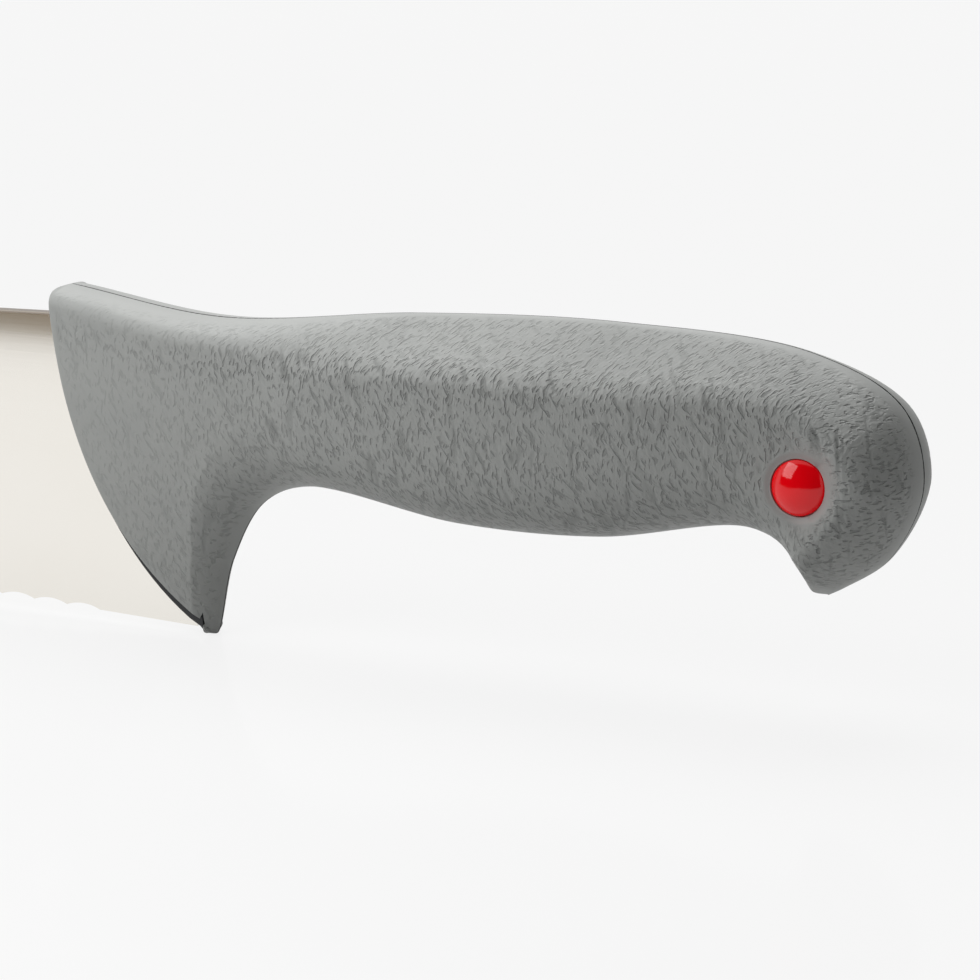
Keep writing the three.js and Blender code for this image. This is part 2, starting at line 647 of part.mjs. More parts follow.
// One plug, head outwards along +Y, with the underside of its head at the origin.
function plugGeometry() {
  const head = PLUG_DIAMETER / 2;
  const post = PLUG_POST_DIAMETER / 2;
  const end = PLUG_SEAT_GAP + PLUG_POST_GAP - plugSeat;
  const ball = (head * head + PLUG_DOME * PLUG_DOME) / (2 * PLUG_DOME);
  const spread = Math.asin(head / ball);
  const profile = [
    new THREE.Vector2(0, end),
    new THREE.Vector2(post - PLUG_POST_CHAMFER, end),
    new THREE.Vector2(post, end + PLUG_POST_CHAMFER),
    new THREE.Vector2(post, 0),
    new THREE.Vector2(head, 0),
  ];
  for (let i = 0; i <= DOME_COUNT; i++) {
    const turn = spread * (1 - i / DOME_COUNT);
    const height = PLUG_RIM + PLUG_DOME - ball * (1 - Math.cos(turn));
    profile.push(new THREE.Vector2(ball * Math.sin(turn), height));
  }
  return new THREE.LatheGeometry(profile, ROUND_COUNT);
}

function pieceOf(name, geometry, finish) {
  const piece = new THREE.Mesh(geometry, new THREE.MeshStandardMaterial(finish));
  piece.name = name;
  return piece;
}

const knife = new THREE.Group();
const assembly = new THREE.Group();
knife.add(assembly);

assembly.add(pieceOf("blade", bladeGeometry(), STEEL));
assembly.add(pieceOf("tang_core", coreGeometry(), DARK_PLASTIC));

const half = handleHalfGeometry();
const nearHalf = pieceOf("handle_near_half", half, GRAINED_GREY);
const farHalf = pieceOf("handle_far_half", half, GRAINED_GREY);
farHalf.scale.y = -1;
assembly.add(nearHalf, farHalf);

const plug = plugGeometry();
const nearPlug = pieceOf("code_plug_near", plug, SIGNAL_RED);
nearPlug.position.set(plugAt, -plugSeat - PLUG_SEAT_GAP, plugHeight);
nearPlug.rotation.x = Math.PI;
const farPlug = pieceOf("code_plug_far", plug, SIGNAL_RED);
farPlug.position.set(plugAt, plugSeat + PLUG_SEAT_GAP, plugHeight);
assembly.add(nearPlug, farPlug);

// The knife stands on the floor with the middle of its length over the origin.
const box = new THREE.Box3().setFromObject(assembly);
assembly.position.set(-(box.min.x + box.max.x) / 2, 0, -box.min.z);

export default knife;
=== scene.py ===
"""Fish knife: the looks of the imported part.

A scallop-edged steel blade stands edge down in a grained grey handle, with a red plug in each side of
the pommel. Sizes are millimetres from the foot of the guard. Meshes are metres in the part's own frame.
"""

import logging
import math
from dataclasses import dataclass, field, replace
from enum import Enum
from typing import Any

import bmesh
import bpy
import numpy as np
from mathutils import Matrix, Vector


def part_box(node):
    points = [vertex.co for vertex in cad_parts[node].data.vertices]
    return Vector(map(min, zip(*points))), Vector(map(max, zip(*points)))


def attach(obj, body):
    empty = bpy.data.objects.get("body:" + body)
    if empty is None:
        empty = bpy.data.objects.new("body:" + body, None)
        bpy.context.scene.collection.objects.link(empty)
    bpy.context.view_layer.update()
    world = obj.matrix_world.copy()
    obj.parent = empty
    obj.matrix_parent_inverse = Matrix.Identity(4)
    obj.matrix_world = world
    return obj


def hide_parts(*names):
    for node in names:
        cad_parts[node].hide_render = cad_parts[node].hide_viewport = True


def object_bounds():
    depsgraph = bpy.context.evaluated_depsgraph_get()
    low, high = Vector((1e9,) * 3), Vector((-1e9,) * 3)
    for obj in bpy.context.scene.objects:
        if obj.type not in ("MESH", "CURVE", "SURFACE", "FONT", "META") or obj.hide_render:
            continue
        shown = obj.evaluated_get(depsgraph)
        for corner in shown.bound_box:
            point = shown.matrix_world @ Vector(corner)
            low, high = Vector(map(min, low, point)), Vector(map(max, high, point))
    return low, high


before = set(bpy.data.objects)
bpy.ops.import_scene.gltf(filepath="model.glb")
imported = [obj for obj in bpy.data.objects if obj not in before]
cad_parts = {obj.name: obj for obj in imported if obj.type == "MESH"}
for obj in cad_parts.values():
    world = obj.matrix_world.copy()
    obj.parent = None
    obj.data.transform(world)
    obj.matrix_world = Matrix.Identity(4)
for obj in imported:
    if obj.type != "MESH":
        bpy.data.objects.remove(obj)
CAD_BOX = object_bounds()

MM = 0.001
Array = np.ndarray
Point = tuple[float, float]
Piece = bpy.types.Object
Material = bpy.types.Material
Tree = bpy.types.NodeTree
Socket = bpy.types.NodeSocket
Sockets = dict[str | int, Any]
log = logging.getLogger("fish_knife")

# Stretches round a turned piece and along a smooth line, and how many places are measured at once.
ROUND_COUNT = 96
LINE_COUNT = 240
CHUNK = 4096
# Corners closer than this are made one, in metres, and a length that stands in for none.
MERGE = 1e-7
FINE_MERGE = 1e-8
TINY = 1e-9
# Brings a corner on to the plane of the seam.
ON_SEAM = (1, 0, 1)
# Numbers that scatter the cells of the noise: for the seed, for each axis, and shifts with factors.
WORD = 0xFFFFFFFF
SEED_STEP = 2654435761
AXIS_STEPS = (73856093, 19349663, 83492791)
MIXERS = ((15, 2246822519), (13, 3266489917))
LAST_SHIFT = 16


class Carving(Enum):
    """What one solid does to another."""

    CUT = "DIFFERENCE"
    JOIN = "UNION"


class Side(Enum):
    """Side of the blade's plane that a piece lies on, as the sign of its Y."""

    NEAR = -1
    FAR = 1

    @property
    def word(self) -> str:
        """The side as it stands in a name."""
        return self.name.lower()


def linear(code: str) -> tuple[float, float, float, float]:
    """Turns an sRGB hex colour to linear light.

    Args:
        code: The colour, such as "#d8121c".

    Returns:
        Red, green, blue and an alpha of 1.
    """
    parts = [int(code[i : i + 2], 16) / 255 for i in (1, 3, 5)]
    red, green, blue = (p / 12.92 if p <= 0.04045 else ((p + 0.055) / 1.055) ** 2.4 for p in parts)
    return red, green, blue, 1.0


def add_node(tree: Tree, kind: str, sockets: Sockets | None = None, **settings: Any) -> bpy.types.Node:
    """Adds a node with its settings and links.

    Args:
        tree: The node tree that gets the node.
        kind: The node's type name.
        sockets: A value or another node's output for each input, by name or number.
        **settings: Values of the node's own properties.

    Returns:
        The new node.
    """
    node = tree.nodes.new(kind)
    for name, value in settings.items():
        setattr(node, name, value)
    for key, value in (sockets or {}).items():
        if isinstance(value, Socket):
            tree.links.new(value, node.inputs[key])
        else:
            node.inputs[key].default_value = value
    return node


def per_metre(size: float) -> float:
    """Scale of a texture whose pattern repeats at a size in millimetres."""
    return 1 / (size * MM)


def object_place(tree: Tree) -> Socket:
    """Where the surface is, in its object's own coordinates."""
    return add_node(tree, "ShaderNodeTexCoord").outputs["Object"]


def noise(tree: Tree, place: Socket, scale: float, detail: float) -> Socket:
    """Smooth noise from 0 to 1, with its scale and its amount of fine detail."""
    sockets = {"Vector": place, "Scale": scale, "Detail": detail}
    return add_node(tree, "ShaderNodeTexNoise", sockets).outputs["Fac"]


def reckon(tree: Tree, operation: str, *values: Socket | float) -> Socket:
    """Result of an arithmetic node on its values, in order."""
    return add_node(tree, "ShaderNodeMath", dict(enumerate(values)), operation=operation).outputs[0]


def ranged(tree: Tree, share: Socket, low: float, high: float) -> Socket:
    """Turns a share from 0 to 1 into a value from low to high."""
    sockets = {"Value": share, "To Min": low, "To Max": high}
    return add_node(tree, "ShaderNodeMapRange", sockets).outputs["Result"]


def blend(tree: Tree, share: Socket, first: Socket | str, second: Socket | str) -> Socket:
    """Blends two colours, each an output or a hex code, by the share of the second."""
    first, second = (linear(c) if isinstance(c, str) else c for c in (first, second))
    return add_node(tree, "ShaderNodeMix", {0: share, 6: first, 7: second}, data_type="RGBA").outputs[2]


def bump(tree: Tree, height: Socket, depth: float, strength: Socket | float = 1.0) -> Socket:
    """Normal of a surface with a height from 0 to 1 drawn on it, as deep as some millimetres."""
    sockets = {"Height": height, "Strength": strength, "Distance": depth * MM}
    return add_node(tree, "ShaderNodeBump", sockets).outputs["Normal"]


def principled(tree: Tree, sockets: Sockets) -> Socket:
    """The shader that every finish is made with."""
    return add_node(tree, "ShaderNodeBsdfPrincipled", sockets).outputs["BSDF"]


def surface(tree: Tree, shader: Socket) -> None:
    """Ends a material with its shader."""
    add_node(tree, "ShaderNodeOutputMaterial", {"Surface": shader})


def empty_material(name: str) -> tuple[Material, Tree]:
    """Makes a material with no nodes in it yet.

    Args:
        name: What the material is called.

    Returns:
        The material and its node tree.
    """
    material = bpy.data.materials.new(name)
    material.use_nodes = True
    material.node_tree.nodes.clear()
    return material, material.node_tree


@dataclass(frozen=True)
class FineCreases:
    """One set of short creases. Sizes are millimetres, leans are degrees."""

    across: float
    along: float
    lean_side: float
    lean_top: float
    # How high on a hill a crease starts, and how much higher it is at its deepest.
    start: float
    run: float = 0.15

    def height(self, tree: Tree, place: Socket) -> tuple[Socket, Socket]:
        """Draws the creases, which lie where stretched hills are highest.

        Args:
            tree: The material's node tree.
            place: Where the skin is.

        Returns:
            1 on the skin and 0 at the bottom of a crease, and the height of the hills.
        """
        lean = (0.0, math.radians(self.lean_side), math.radians(-self.lean_top))
        size = (self.across * MM, self.along * MM, self.along * MM)
        stretch = {"Vector": place, "Rotation": lean, "Scale": size}
        stretched = add_node(tree, "ShaderNodeMapping", stretch, vector_type="TEXTURE").outputs["Vector"]
        hill = noise(tree, stretched, 1.0, 1.0)
        fall = {"Value": hill, "From Min": self.start + self.run, "From Max": self.start}
        crease = add_node(tree, "ShaderNodeMapRange", fall, interpolation_type="SMOOTHSTEP")
        return crease.outputs["Result"], hill


@dataclass(frozen=True)
class GrainedPolypropylene:
    """Grey polypropylene from a leather-grained mould: dull skin, with painted shade making the creases a
    little darker.
    """

    name: str = "polypropylene_leather_grained"
    skin: str = "#b0b2af"
    worn: str = "#a8aaa8"
    # Painted shade: the colour that the skin is darkened to in the creases.
    creases: str = "#808280"
    # Painted shade: the dark colour of the groove along the seam, where the gap between the halves lies in
    # shadow.
    seam: str = "#545554"
    patch_size: float = 9.0
    upright: FineCreases = FineCreases(0.36, 1.2, 4.0, 36.0, 0.55)
    slanting: FineCreases = FineCreases(0.42, 2.0, -22.0, 54.0, 0.57)
    # Only the pommel has these.
    lying: FineCreases = FineCreases(0.42, 1.0, 80.0, 14.0, 0.53)
    fine_depth: float = 0.17
    # Share of painted shade at the bottom of a fine crease.
    fine_painted_shade: float = 0.65
    hill_share: float = 0.7
    roughness: tuple[float, float] = (0.5, 0.62)
    ior: float = 1.45

    def material(self) -> Material:
        """Makes the material, which reads the long creases, the seam and the pommel's place from the mesh.

        Returns:
            The finished material.
        """
        material, tree = empty_material(self.name)
        place = object_place(tree)
        depth, strength, seam, pommel = (
            add_node(tree, "ShaderNodeAttribute", attribute_name=name).outputs["Fac"]
            for name in ("grain", "strength", "seam", "pommel")
        )
        patch = noise(tree, place, per_metre(self.patch_size), 3.0)
        upright, upright_hill = self.upright.height(tree, place)
        slanting, slanting_hill = self.slanting.height(tree, place)
        lying, _ = self.lying.height(tree, place)
        level = reckon(tree, "MULTIPLY", upright, slanting)
        level = add_node(tree, "ShaderNodeMix", {0: pommel, 2: level, 3: lying}).outputs[0]
        hills = reckon(tree, "ADD", upright_hill, slanting_hill)
        height = reckon(tree, "MULTIPLY_ADD", hills, self.hill_share, level)
        # Painted shade: fine and long creases darken the skin towards the crease colour, and roughen it.
        low = reckon(tree, "MULTIPLY", ranged(tree, level, self.fine_painted_shade, 0.0), strength)
        deep = reckon(tree, "MAXIMUM", low, depth)
        plain = blend(tree, patch, self.worn, self.skin)
        grained = blend(tree, deep, plain, self.creases)
        # The seam mark paints shade along the groove of the seam.
        sockets = {
            "Base Color": blend(tree, seam, grained, self.seam),
            "Roughness": ranged(tree, deep, *self.roughness),
            "IOR": self.ior,
            "Normal": bump(tree, height, self.fine_depth, strength),
        }
        surface(tree, principled(tree, sockets))
        return material


@dataclass(frozen=True)
class PolishedStainless:
    """Stainless steel ground lengthwise and polished: mirror-like, softened by fine lines along it."""

    name: str = "stainless_steel_polished"
    bright: str = "#f6f3ed"
    dull: str = "#f0ece4"
    spine: str = "#6d665e"
    # Real polishing lines are about 0.02 mm apart. They are drawn coarser here, so that they show.
    line_width: float = 0.35
    line_length: float = 40.0
    line_height: float = 0.0006
    cloud_size: float = 30.0
    roughness: tuple[float, float] = (0.07, 0.11)
    spine_roughness: float = 0.45
    # How far a surface faces up where the dull spine starts, and where it is full.
    spine_facing: tuple[float, float] = (0.05, 0.2)

    def material(self) -> Material:
        """Makes the material, with the spine left as it was ground: dull and dark.

        Returns:
            The finished material.
        """
        material, tree = empty_material(self.name)
        place = object_place(tree)
        across = per_metre(self.line_width)
        stretch = {"Vector": place, "Scale": (per_metre(self.line_length), across, across)}
        stretched = add_node(tree, "ShaderNodeMapping", stretch).outputs["Vector"]
        lines = noise(tree, stretched, 1.0, 4.0)
        cloud = noise(tree, place, per_metre(self.cloud_size), 3.0)
        facing = add_node(tree, "ShaderNodeNewGeometry").outputs["Normal"]
        up = add_node(tree, "ShaderNodeSeparateXYZ", {0: facing}).outputs["Z"]
        start, full = self.spine_facing
        climb = {"Value": up, "From Min": start, "From Max": full}
        on_spine = add_node(tree, "ShaderNodeMapRange", climb).outputs["Result"]
        polish = ranged(tree, lines, *self.roughness)
        rough = add_node(tree, "ShaderNodeMix", {0: on_spine, 2: polish, 3: self.spine_roughness})
        sockets = {
            "Base Color": blend(tree, on_spine, blend(tree, cloud, self.dull, self.bright), self.spine),
            "Metallic": 1.0,
            "Roughness": rough.outputs[0],
            "Normal": bump(tree, lines, self.line_height),
        }
        surface(tree, principled(tree, sockets))
        return material


@dataclass(frozen=True)
class PlainStuff:
    """A moulded or pressed stuff of one colour: slight clouds in it, and a faint unevenness of its skin."""

    name: str
    light: str
    dark: str
    cloud_size: float
    ripple_size: float
    ripple_height: float
    roughness: float
    ior: float
    glow: float = 0.0

    def material(self) -> Material:
        """Makes the material.

        Returns:
            The finished material.
        """
        material, tree = empty_material(self.name)
        place = object_place(tree)
        cloud = noise(tree, place, per_metre(self.cloud_size), 3.0)
        ripple = noise(tree, place, per_metre(self.ripple_size), 1.0)
        colour = blend(tree, cloud, self.dark, self.light)
        sockets = {
            "Base Color": colour,
            "Roughness": self.roughness,
            "IOR": self.ior,
            "Normal": bump(tree, ripple, self.ripple_height),
            "Emission Color": colour,
            "Emission Strength": self.glow,
        }
        surface(tree, principled(tree, sockets))
        return material


# Glass-filled nylon, moulded: nearly black, with the dull skin that the fibres give.
CORE_NYLON = PlainStuff(
    name="nylon_glass_filled_moulded",
    light="#2c2d2f",
    dark="#232426",
    cloud_size=3.0,
    ripple_size=0.5,
    ripple_height=0.01,
    roughness=0.5,
    ior=1.53,
)

# ABS from a polished mould: a deep red with a soft-edged gloss. The IOR, a little below the usual, and the
# small glow, which a real plug doesn't have, are matched to hold the red.
PLUG_ABS = PlainStuff(
    name="abs_gloss_moulded",
    light="#f40010",
    dark="#ea000d",
    cloud_size=2.5,
    ripple_size=1.6,
    ripple_height=0.004,
    roughness=0.1,
    ior=1.46,
    glow=0.2,
)

# Felt of the studio's small card: dull brown, with a slight nap.
CARD_FELT = PlainStuff(
    name="wool_felt_pressed",
    light="#97876f",
    dark="#8a7a64",
    cloud_size=20.0,
    ripple_size=1.0,
    ripple_height=0.05,
    roughness=0.9,
    ior=1.3,
)

# Felt of the studio's large board: the same, dyed nearly black.
BOARD_FELT = replace(CARD_FELT, name="wool_felt_dyed_dark", light="#303030", dark="#2a2a2a", cloud_size=40.0)


@dataclass(frozen=True)
class GlossBoard:
    """White coated board of the studio floor: pale and even, with a faint shadow and a weak gloss."""

    name: str = "coated_board_white"
    seen: str = "#f9f9f9"
    bounce: str = "#c2c2c2"
    fibre: str = "#f6f6f6"
    fibre_size: float = 60.0
    roughness: float = 0.12
    gloss: float = 0.1
    glow: float = 0.88

    def material(self) -> Material:
        """Makes the material, which lights the knife from below less than a mirror-white floor would.

        Returns:
            The finished material.
        """
        material, tree = empty_material(self.name)
        ray = add_node(tree, "ShaderNodeLightPath").outputs
        cloud = noise(tree, object_place(tree), per_metre(self.fibre_size), 2.0)
        white = blend(tree, cloud, self.fibre, self.seen)
        colour = blend(tree, ray["Is Diffuse Ray"], white, self.bounce)
        sockets = {"Base Color": colour, "Roughness": self.roughness, "Specular IOR Level": self.gloss}
        board = principled(tree, sockets)
        # The camera and the polished steel see the board lit evenly, so that the shadow on it stays faint.
        light = {"Color": linear(self.seen), "Strength": 1.0}
        even = add_node(tree, "ShaderNodeEmission", light).outputs["Emission"]
        seen = reckon(tree, "MAXIMUM", ray["Is Camera Ray"], ray["Is Glossy Ray"])
        share = ranged(tree, seen, 0.0, self.glow)
        surface(tree, add_node(tree, "ShaderNodeMixShader", {0: share, 1: board, 2: even}).outputs["Shader"])
        return material


@dataclass(frozen=True)
class Datum:
    """Where the foot of the guard lies in the part's frame, in metres."""

    x: float
    z: float

    @classmethod
    def of_blade(cls, tip_at: float, heel_height: float) -> "Datum":
        """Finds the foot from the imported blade.

        Args:
            tip_at: The blade's tip from the foot, in millimetres.
            heel_height: The blade's lowest corner above the foot, in millimetres.

        Returns:
            The datum.
        """
        low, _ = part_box("blade")
        return cls(low.x - tip_at * MM, low.z - heel_height * MM)

    def metres(self, points: Array) -> Array:
        """Millimetres from the foot as metres in the part's frame."""
        return np.asarray(points, float) * MM + np.array([self.x, 0.0, self.z])


def welded(name: str, mesh: bpy.types.Mesh, merge: float, slivers: bool) -> Piece:
    """Makes an object of a mesh, with corners that coincide made one and the faces turned outwards.

    Args:
        name: The object's name.
        mesh: The mesh, which is changed.
        merge: Corners closer than this are one, in metres.
        slivers: Whether faces without an area are taken out.

    Returns:
        The object, linked to the scene.
    """
    work = bmesh.new()
    work.from_mesh(mesh)
    bmesh.ops.remove_doubles(work, verts=work.verts, dist=merge)
    if slivers:
        bmesh.ops.dissolve_degenerate(work, dist=merge, edges=work.edges)
    bmesh.ops.recalc_face_normals(work, faces=work.faces)
    work.to_mesh(mesh)
    work.free()
    piece = bpy.data.objects.new(name, mesh)
    bpy.context.scene.collection.objects.link(piece)
    return piece


def solid_object(name: str, corners: Array, faces: list[list[int]], merge: float = FINE_MERGE) -> Piece:
    """Makes a mesh object from corners and faces.

    Args:
        name: The object's name.
        corners: Corners in metres, one row each.
        faces: The corners of each face, by number.
        merge: Corners closer than this are one, in metres.

    Returns:
        The object, linked to the scene.
    """
    mesh = bpy.data.meshes.new(name)
    mesh.from_pydata(corners.tolist(), [], faces)
    return welded(name, mesh, merge, slivers=True)


def carve(piece: Piece, tool: Piece, how: Carving) -> None:
    """Cuts a tool out of a piece, or joins it on, and throws the tool away.

    Args:
        piece: The piece that is changed.
        tool: The other solid.
        how: What the tool does.
    """
    change = piece.modifiers.new("carve", "BOOLEAN")
    change.operation = how.value
    change.solver = "MANIFOLD"
    change.object = tool
    shaped = piece.evaluated_get(bpy.context.evaluated_depsgraph_get())
    mesh = bpy.data.meshes.new_from_object(shaped)
    piece.modifiers.remove(change)
    old, piece.data = piece.data, mesh
    mesh.name = piece.name
    bpy.data.meshes.remove(old)
    bpy.data.objects.remove(tool)


def plate(name: str, datum: Datum, outline: list[Point], thickness: float) -> Piece:
    """Makes a flat plate about the plane of the blade.

    Args:
        name: The object's name.
        datum: Where the foot of the guard is.
        outline: Corners in side view, in order.
        thickness: Thickness of the plate.

    Returns:
        The plate.
    """
    count = len(outline)
    half = thickness / 2
    rows = [(x, y, z) for y in (-half, half) for x, z in outline]
    faces = [list(range(count)), list(range(2 * count - 1, count - 1, -1))]
    faces += [[i, (i + 1) % count, count + (i + 1) % count, count + i] for i in range(count)]
    return solid_object(name, datum.metres(np.array(rows)), faces)


def turned(name: str, datum: Datum, profile: list[Point], at: Point, sign: int) -> Piece:
    """Makes a turned piece whose axis runs across the knife.

    Args:
        name: The object's name.
        datum: Where the foot of the guard is.
        profile: Radius and distance from the blade's plane, from one end of the axis to the other.
        at: Place of the axis in side view.
        sign: Side of the blade's plane, -1 or 1.

    Returns:
        The turned piece.
    """
    turn = np.linspace(0, 2 * math.pi, ROUND_COUNT, endpoint=False)
    corners = [
        (at[0] + radius * math.cos(a), sign * out, at[1] + radius * math.sin(a))
        for radius, out in profile
        for a in turn
    ]
    number = np.arange(len(corners)).reshape(len(profile), ROUND_COUNT)
    return solid_object(name, datum.metres(np.array(corners)), ring_faces(number))


def ring_faces(number: Array) -> list[list[int]]:
    """Faces between rings of corners, whose numbers are given by ring and place."""
    onward = np.roll(number, -1, axis=1)
    return np.stack([number[:-1], onward[:-1], onward[1:], number[1:]], axis=-1).reshape(-1, 4).tolist()


def smooth_shaded(piece: Piece, sharp: float) -> None:
    """Shades a piece smoothly, with edges that bend more than an angle in degrees left sharp."""
    piece.data.shade_smooth()
    piece.data.set_sharp_from_angle(angle=math.radians(sharp))


def dress(piece: Piece, material: Material) -> None:
    """Gives a piece one material."""
    piece.data.materials.clear()
    piece.data.materials.append(material)


def smoothstep(value: Array, low: float, high: float) -> Array:
    """Runs smoothly from 0 at low to 1 at high."""
    share = np.clip((value - low) / (high - low), 0, 1)
    return share * share * (3 - 2 * share)


def scattered(cell: Array, seed: int) -> Array:
    """Gives each cell of a lattice its own fixed number.

    Args:
        cell: Whole coordinates of the cells, one row each.
        seed: Which set of numbers.

    Returns:
        A number from 0 to 1 for each cell.
    """
    mixed = np.full(cell.shape[:-1], (seed * SEED_STEP) & WORD, np.uint32)
    for axis, prime in enumerate(AXIS_STEPS):
        mixed = mixed ^ (cell[..., axis].astype(np.int64) * prime & WORD).astype(np.uint32)
        for shift, factor in MIXERS:
            mixed = (mixed ^ (mixed >> np.uint32(shift))) * np.uint32(factor)
    return (mixed ^ (mixed >> np.uint32(LAST_SHIFT))).astype(float) / WORD


def cloud(points: Array, seed: int) -> Array:
    """Smooth noise with hills about one unit apart.

    Args:
        points: Places, one row each.
        seed: Which noise.

    Returns:
        A number from 0 to 1 for each place.
    """
    base = np.floor(points)
    part = points - base
    part = part * part * (3 - 2 * part)
    total = np.zeros(len(points))
    for corner in np.ndindex(2, 2, 2):
        step = np.array(corner)
        weight = np.prod(np.where(step == 1, part, 1 - part), axis=1)
        total += weight * scattered(base + step, seed)
    return total


@dataclass(frozen=True)
class LeatherGrain:
    """Creases etched into the handle's mould, as in leather. Sizes are millimetres."""

    # Long creases and short ones: across them, along them, how deep, and how high on a hill they start.
    long_crease: tuple[float, float, float, float] = (0.95, 5.0, 0.1, 0.66)
    short_crease: tuple[float, float, float, float] = (0.9, 2.6, 0.08, 0.64)
    # How much higher the hill is where a crease is deepest, and the finer hills in it: their share and scale.
    crease_run: float = 0.12
    ripple_share: float = 0.28
    ripple_scale: float = 2.1
    lump_size: float = 1.1
    lump_height: float = 0.02
    lean_side: float = 0.12
    lean_top: float = 0.75
    short_lean: float = 0.5
    wander: float = 0.5
    wander_size: float = 3.0
    patch_size: float = 5.0
    # Patches of full creases start and end at these heights, and between the patches a share is left.
    long_patch: tuple[float, float] = (0.3, 0.62)
    long_left: float = 0.3
    short_patch: tuple[float, float] = (0.25, 0.7)
    short_left: float = 0.25

    @property
    def deepest(self) -> float:
        """The depth that counts as the bottom of a crease."""
        return 2 * self.long_crease[2]

    def creases(self, points: Array, along: Array, sizes: tuple[float, ...], seed: int) -> Array:
        """One set of creases, which lie where stretched hills are highest.

        Args:
            points: Places on the skin, one row each.
            along: The way along the handle at each place, sheared as the creases lean.
            sizes: Across them, along them, how deep, and how high on a hill they start.
            seed: Which creases.

        Returns:
            The depth at each place.
        """
        across, length, depth, start = sizes
        place = np.stack([along / across, points[:, 1] / length, points[:, 2] / length], axis=1)
        broad, fine = cloud(place, seed), cloud(self.ripple_scale * place, seed + 1)
        hill = (1 - self.ripple_share) * broad + self.ripple_share * fine
        return depth * smoothstep(hill, start, start + self.crease_run)

    def depth(self, points: Array, seed: int) -> tuple[Array, Array]:
        """How far the skin lies below its smooth form.

        Args:
            points: Places on the skin, one row each.
            seed: Which grain.

        Returns:
            The depth of the creases at each place, and of the dips between the lumps.
        """
        x, y, z = points.T
        drift = [2 * self.wander * (cloud(points / self.wander_size, seed + k) - 0.5) for k in range(3)]
        moved = points + np.stack(drift, axis=1)
        along = x + self.lean_side * z - self.lean_top * y + drift[0]
        crossing = x + self.short_lean * (z - y) + drift[0]
        broken = smoothstep(cloud(points / self.patch_size, seed + 30), *self.long_patch)
        patchy = smoothstep(cloud(points / self.patch_size, seed + 31), *self.short_patch)
        lump = self.lump_height * (1 - cloud(moved / self.lump_size, seed + 32))
        long = self.creases(moved, along, self.long_crease, seed + 10)
        short = self.creases(moved, crossing, self.short_crease, seed + 20)
        long_part = long * (self.long_left + (1 - self.long_left) * broken)
        short_part = short * (self.short_left + (1 - self.short_left) * patchy)
        return long_part + short_part, lump


@dataclass(frozen=True)
class GrainFade:
    """Where the grain weakens. Pairs are where it starts to change and where it has changed."""

    # Millimetres outside the plug's ring, from the seam, from the underside and from the beak's tip.
    ring_run: float = 0.7
    seam: tuple[float, float] = (0.1, 0.7)
    underside: tuple[float, float] = (0.2, 1.2)
    tip: tuple[float, float] = (0.5, 3.0)
    # The smooth crease round the pommel: below the middle of the flare, its width, and the grain lost in it.
    crease_drop: float = 0.8
    crease_width: float = 1.6
    crease_flare: tuple[float, float] = (0.35, 0.8)
    crease_loss: float = 0.85
    # The grain left on the bolster and how far past the guard it is full, and the same for the sloping top.
    bolster_left: float = 0.4
    bolster_run: float = 10.0
    slope_left: float = 0.6
    slope_run: float = 3.0
    # The grain off the ridge, what the ridge adds to it, and how far that reaches.
    off_ridge: float = 0.85
    ridge_gain: float = 0.5
    ridge_width: float = 3.0
    # Share of the flare over which the pommel's own grain takes over, and the front columns that have none.
    pommel: tuple[float, float] = (0.3, 0.7)
    front_columns: tuple[int, int] = (1, 6)


def cubic(start: Array, end: Array, leave: Array, arrive: Array, t: Array) -> Array:
    """A curve from start to end, with its way on leaving and on arriving."""
    bend, twist = 3 * end - 3 * start - 2 * leave - arrive, 2 * start - 2 * end + leave + arrive
    return start + leave * t + bend * t**2 + twist * t**3


class Chain:
    """A smooth chain of places in side view, with values set at each of them."""

    def __init__(self, places: list[Point], values: tuple[tuple[float, ...], ...]) -> None:
        """Runs the chain through its places.

        Args:
            places: x and z of each place.
            values: The values at each place.
        """
        self.points, self.values = np.array(places, float), np.array(values, float)
        self.line = self.at(np.linspace(0, len(places) - 1, LINE_COUNT + 1))

    def at(self, place: Array) -> Array:
        """Points a number of places along, such as 2.5 for halfway between the third and the fourth.

        Args:
            place: The numbers of places.

        Returns:
            x and z of each point.
        """
        ends = [2 * self.points[0] - self.points[1]], [2 * self.points[-1] - self.points[-2]]
        keys = np.concatenate([ends[0], self.points, ends[1]])
        low = np.clip(np.floor(place).astype(int), 0, len(self.points) - 2)
        a, b, c, d = (keys[low + k] for k in range(4))
        before, here, after = (
            np.sqrt(np.linalg.norm(q - p, axis=-1, keepdims=True)) for p, q in ((a, b), (b, c), (c, d))
        )
        leave = ((b - a) / before - (c - a) / (before + here) + (c - b) / here) * here
        arrive = ((c - b) / here - (d - b) / (here + after) + (d - c) / after) * here
        return cubic(b, c, leave, arrive, (place - low)[..., None])

    def nearest(self, points: Array) -> tuple[Array, Array]:
        """Distance from points to the chain, and its values there.

        Args:
            points: x and z of each point.

        Returns:
            The distances, and a row for each value.
        """
        start, way = self.line[:-1], np.diff(self.line, axis=0)
        length = np.sum(way * way, axis=1)
        distance = np.empty(len(points))
        place = np.empty(len(points))
        for low in range(0, len(points), CHUNK):
            part = points[low : low + CHUNK, None, :]
            along = np.clip(np.sum((part - start) * way, axis=2) / length, 0, 1)
            gap = np.sum((part - start - along[..., None] * way) ** 2, axis=2)
            best = np.argmin(gap, axis=1)
            row = np.arange(len(best))
            distance[low : low + CHUNK] = np.sqrt(gap[row, best])
            place[low : low + CHUNK] = best + along[row, best]
        key = place / LINE_COUNT * (len(self.points) - 1)
        low_key = np.clip(np.floor(key).astype(int), 0, len(self.points) - 2)
        share = (key - low_key)[:, None]
        return distance, (self.values[low_key] * (1 - share) + self.values[low_key + 1] * share).T


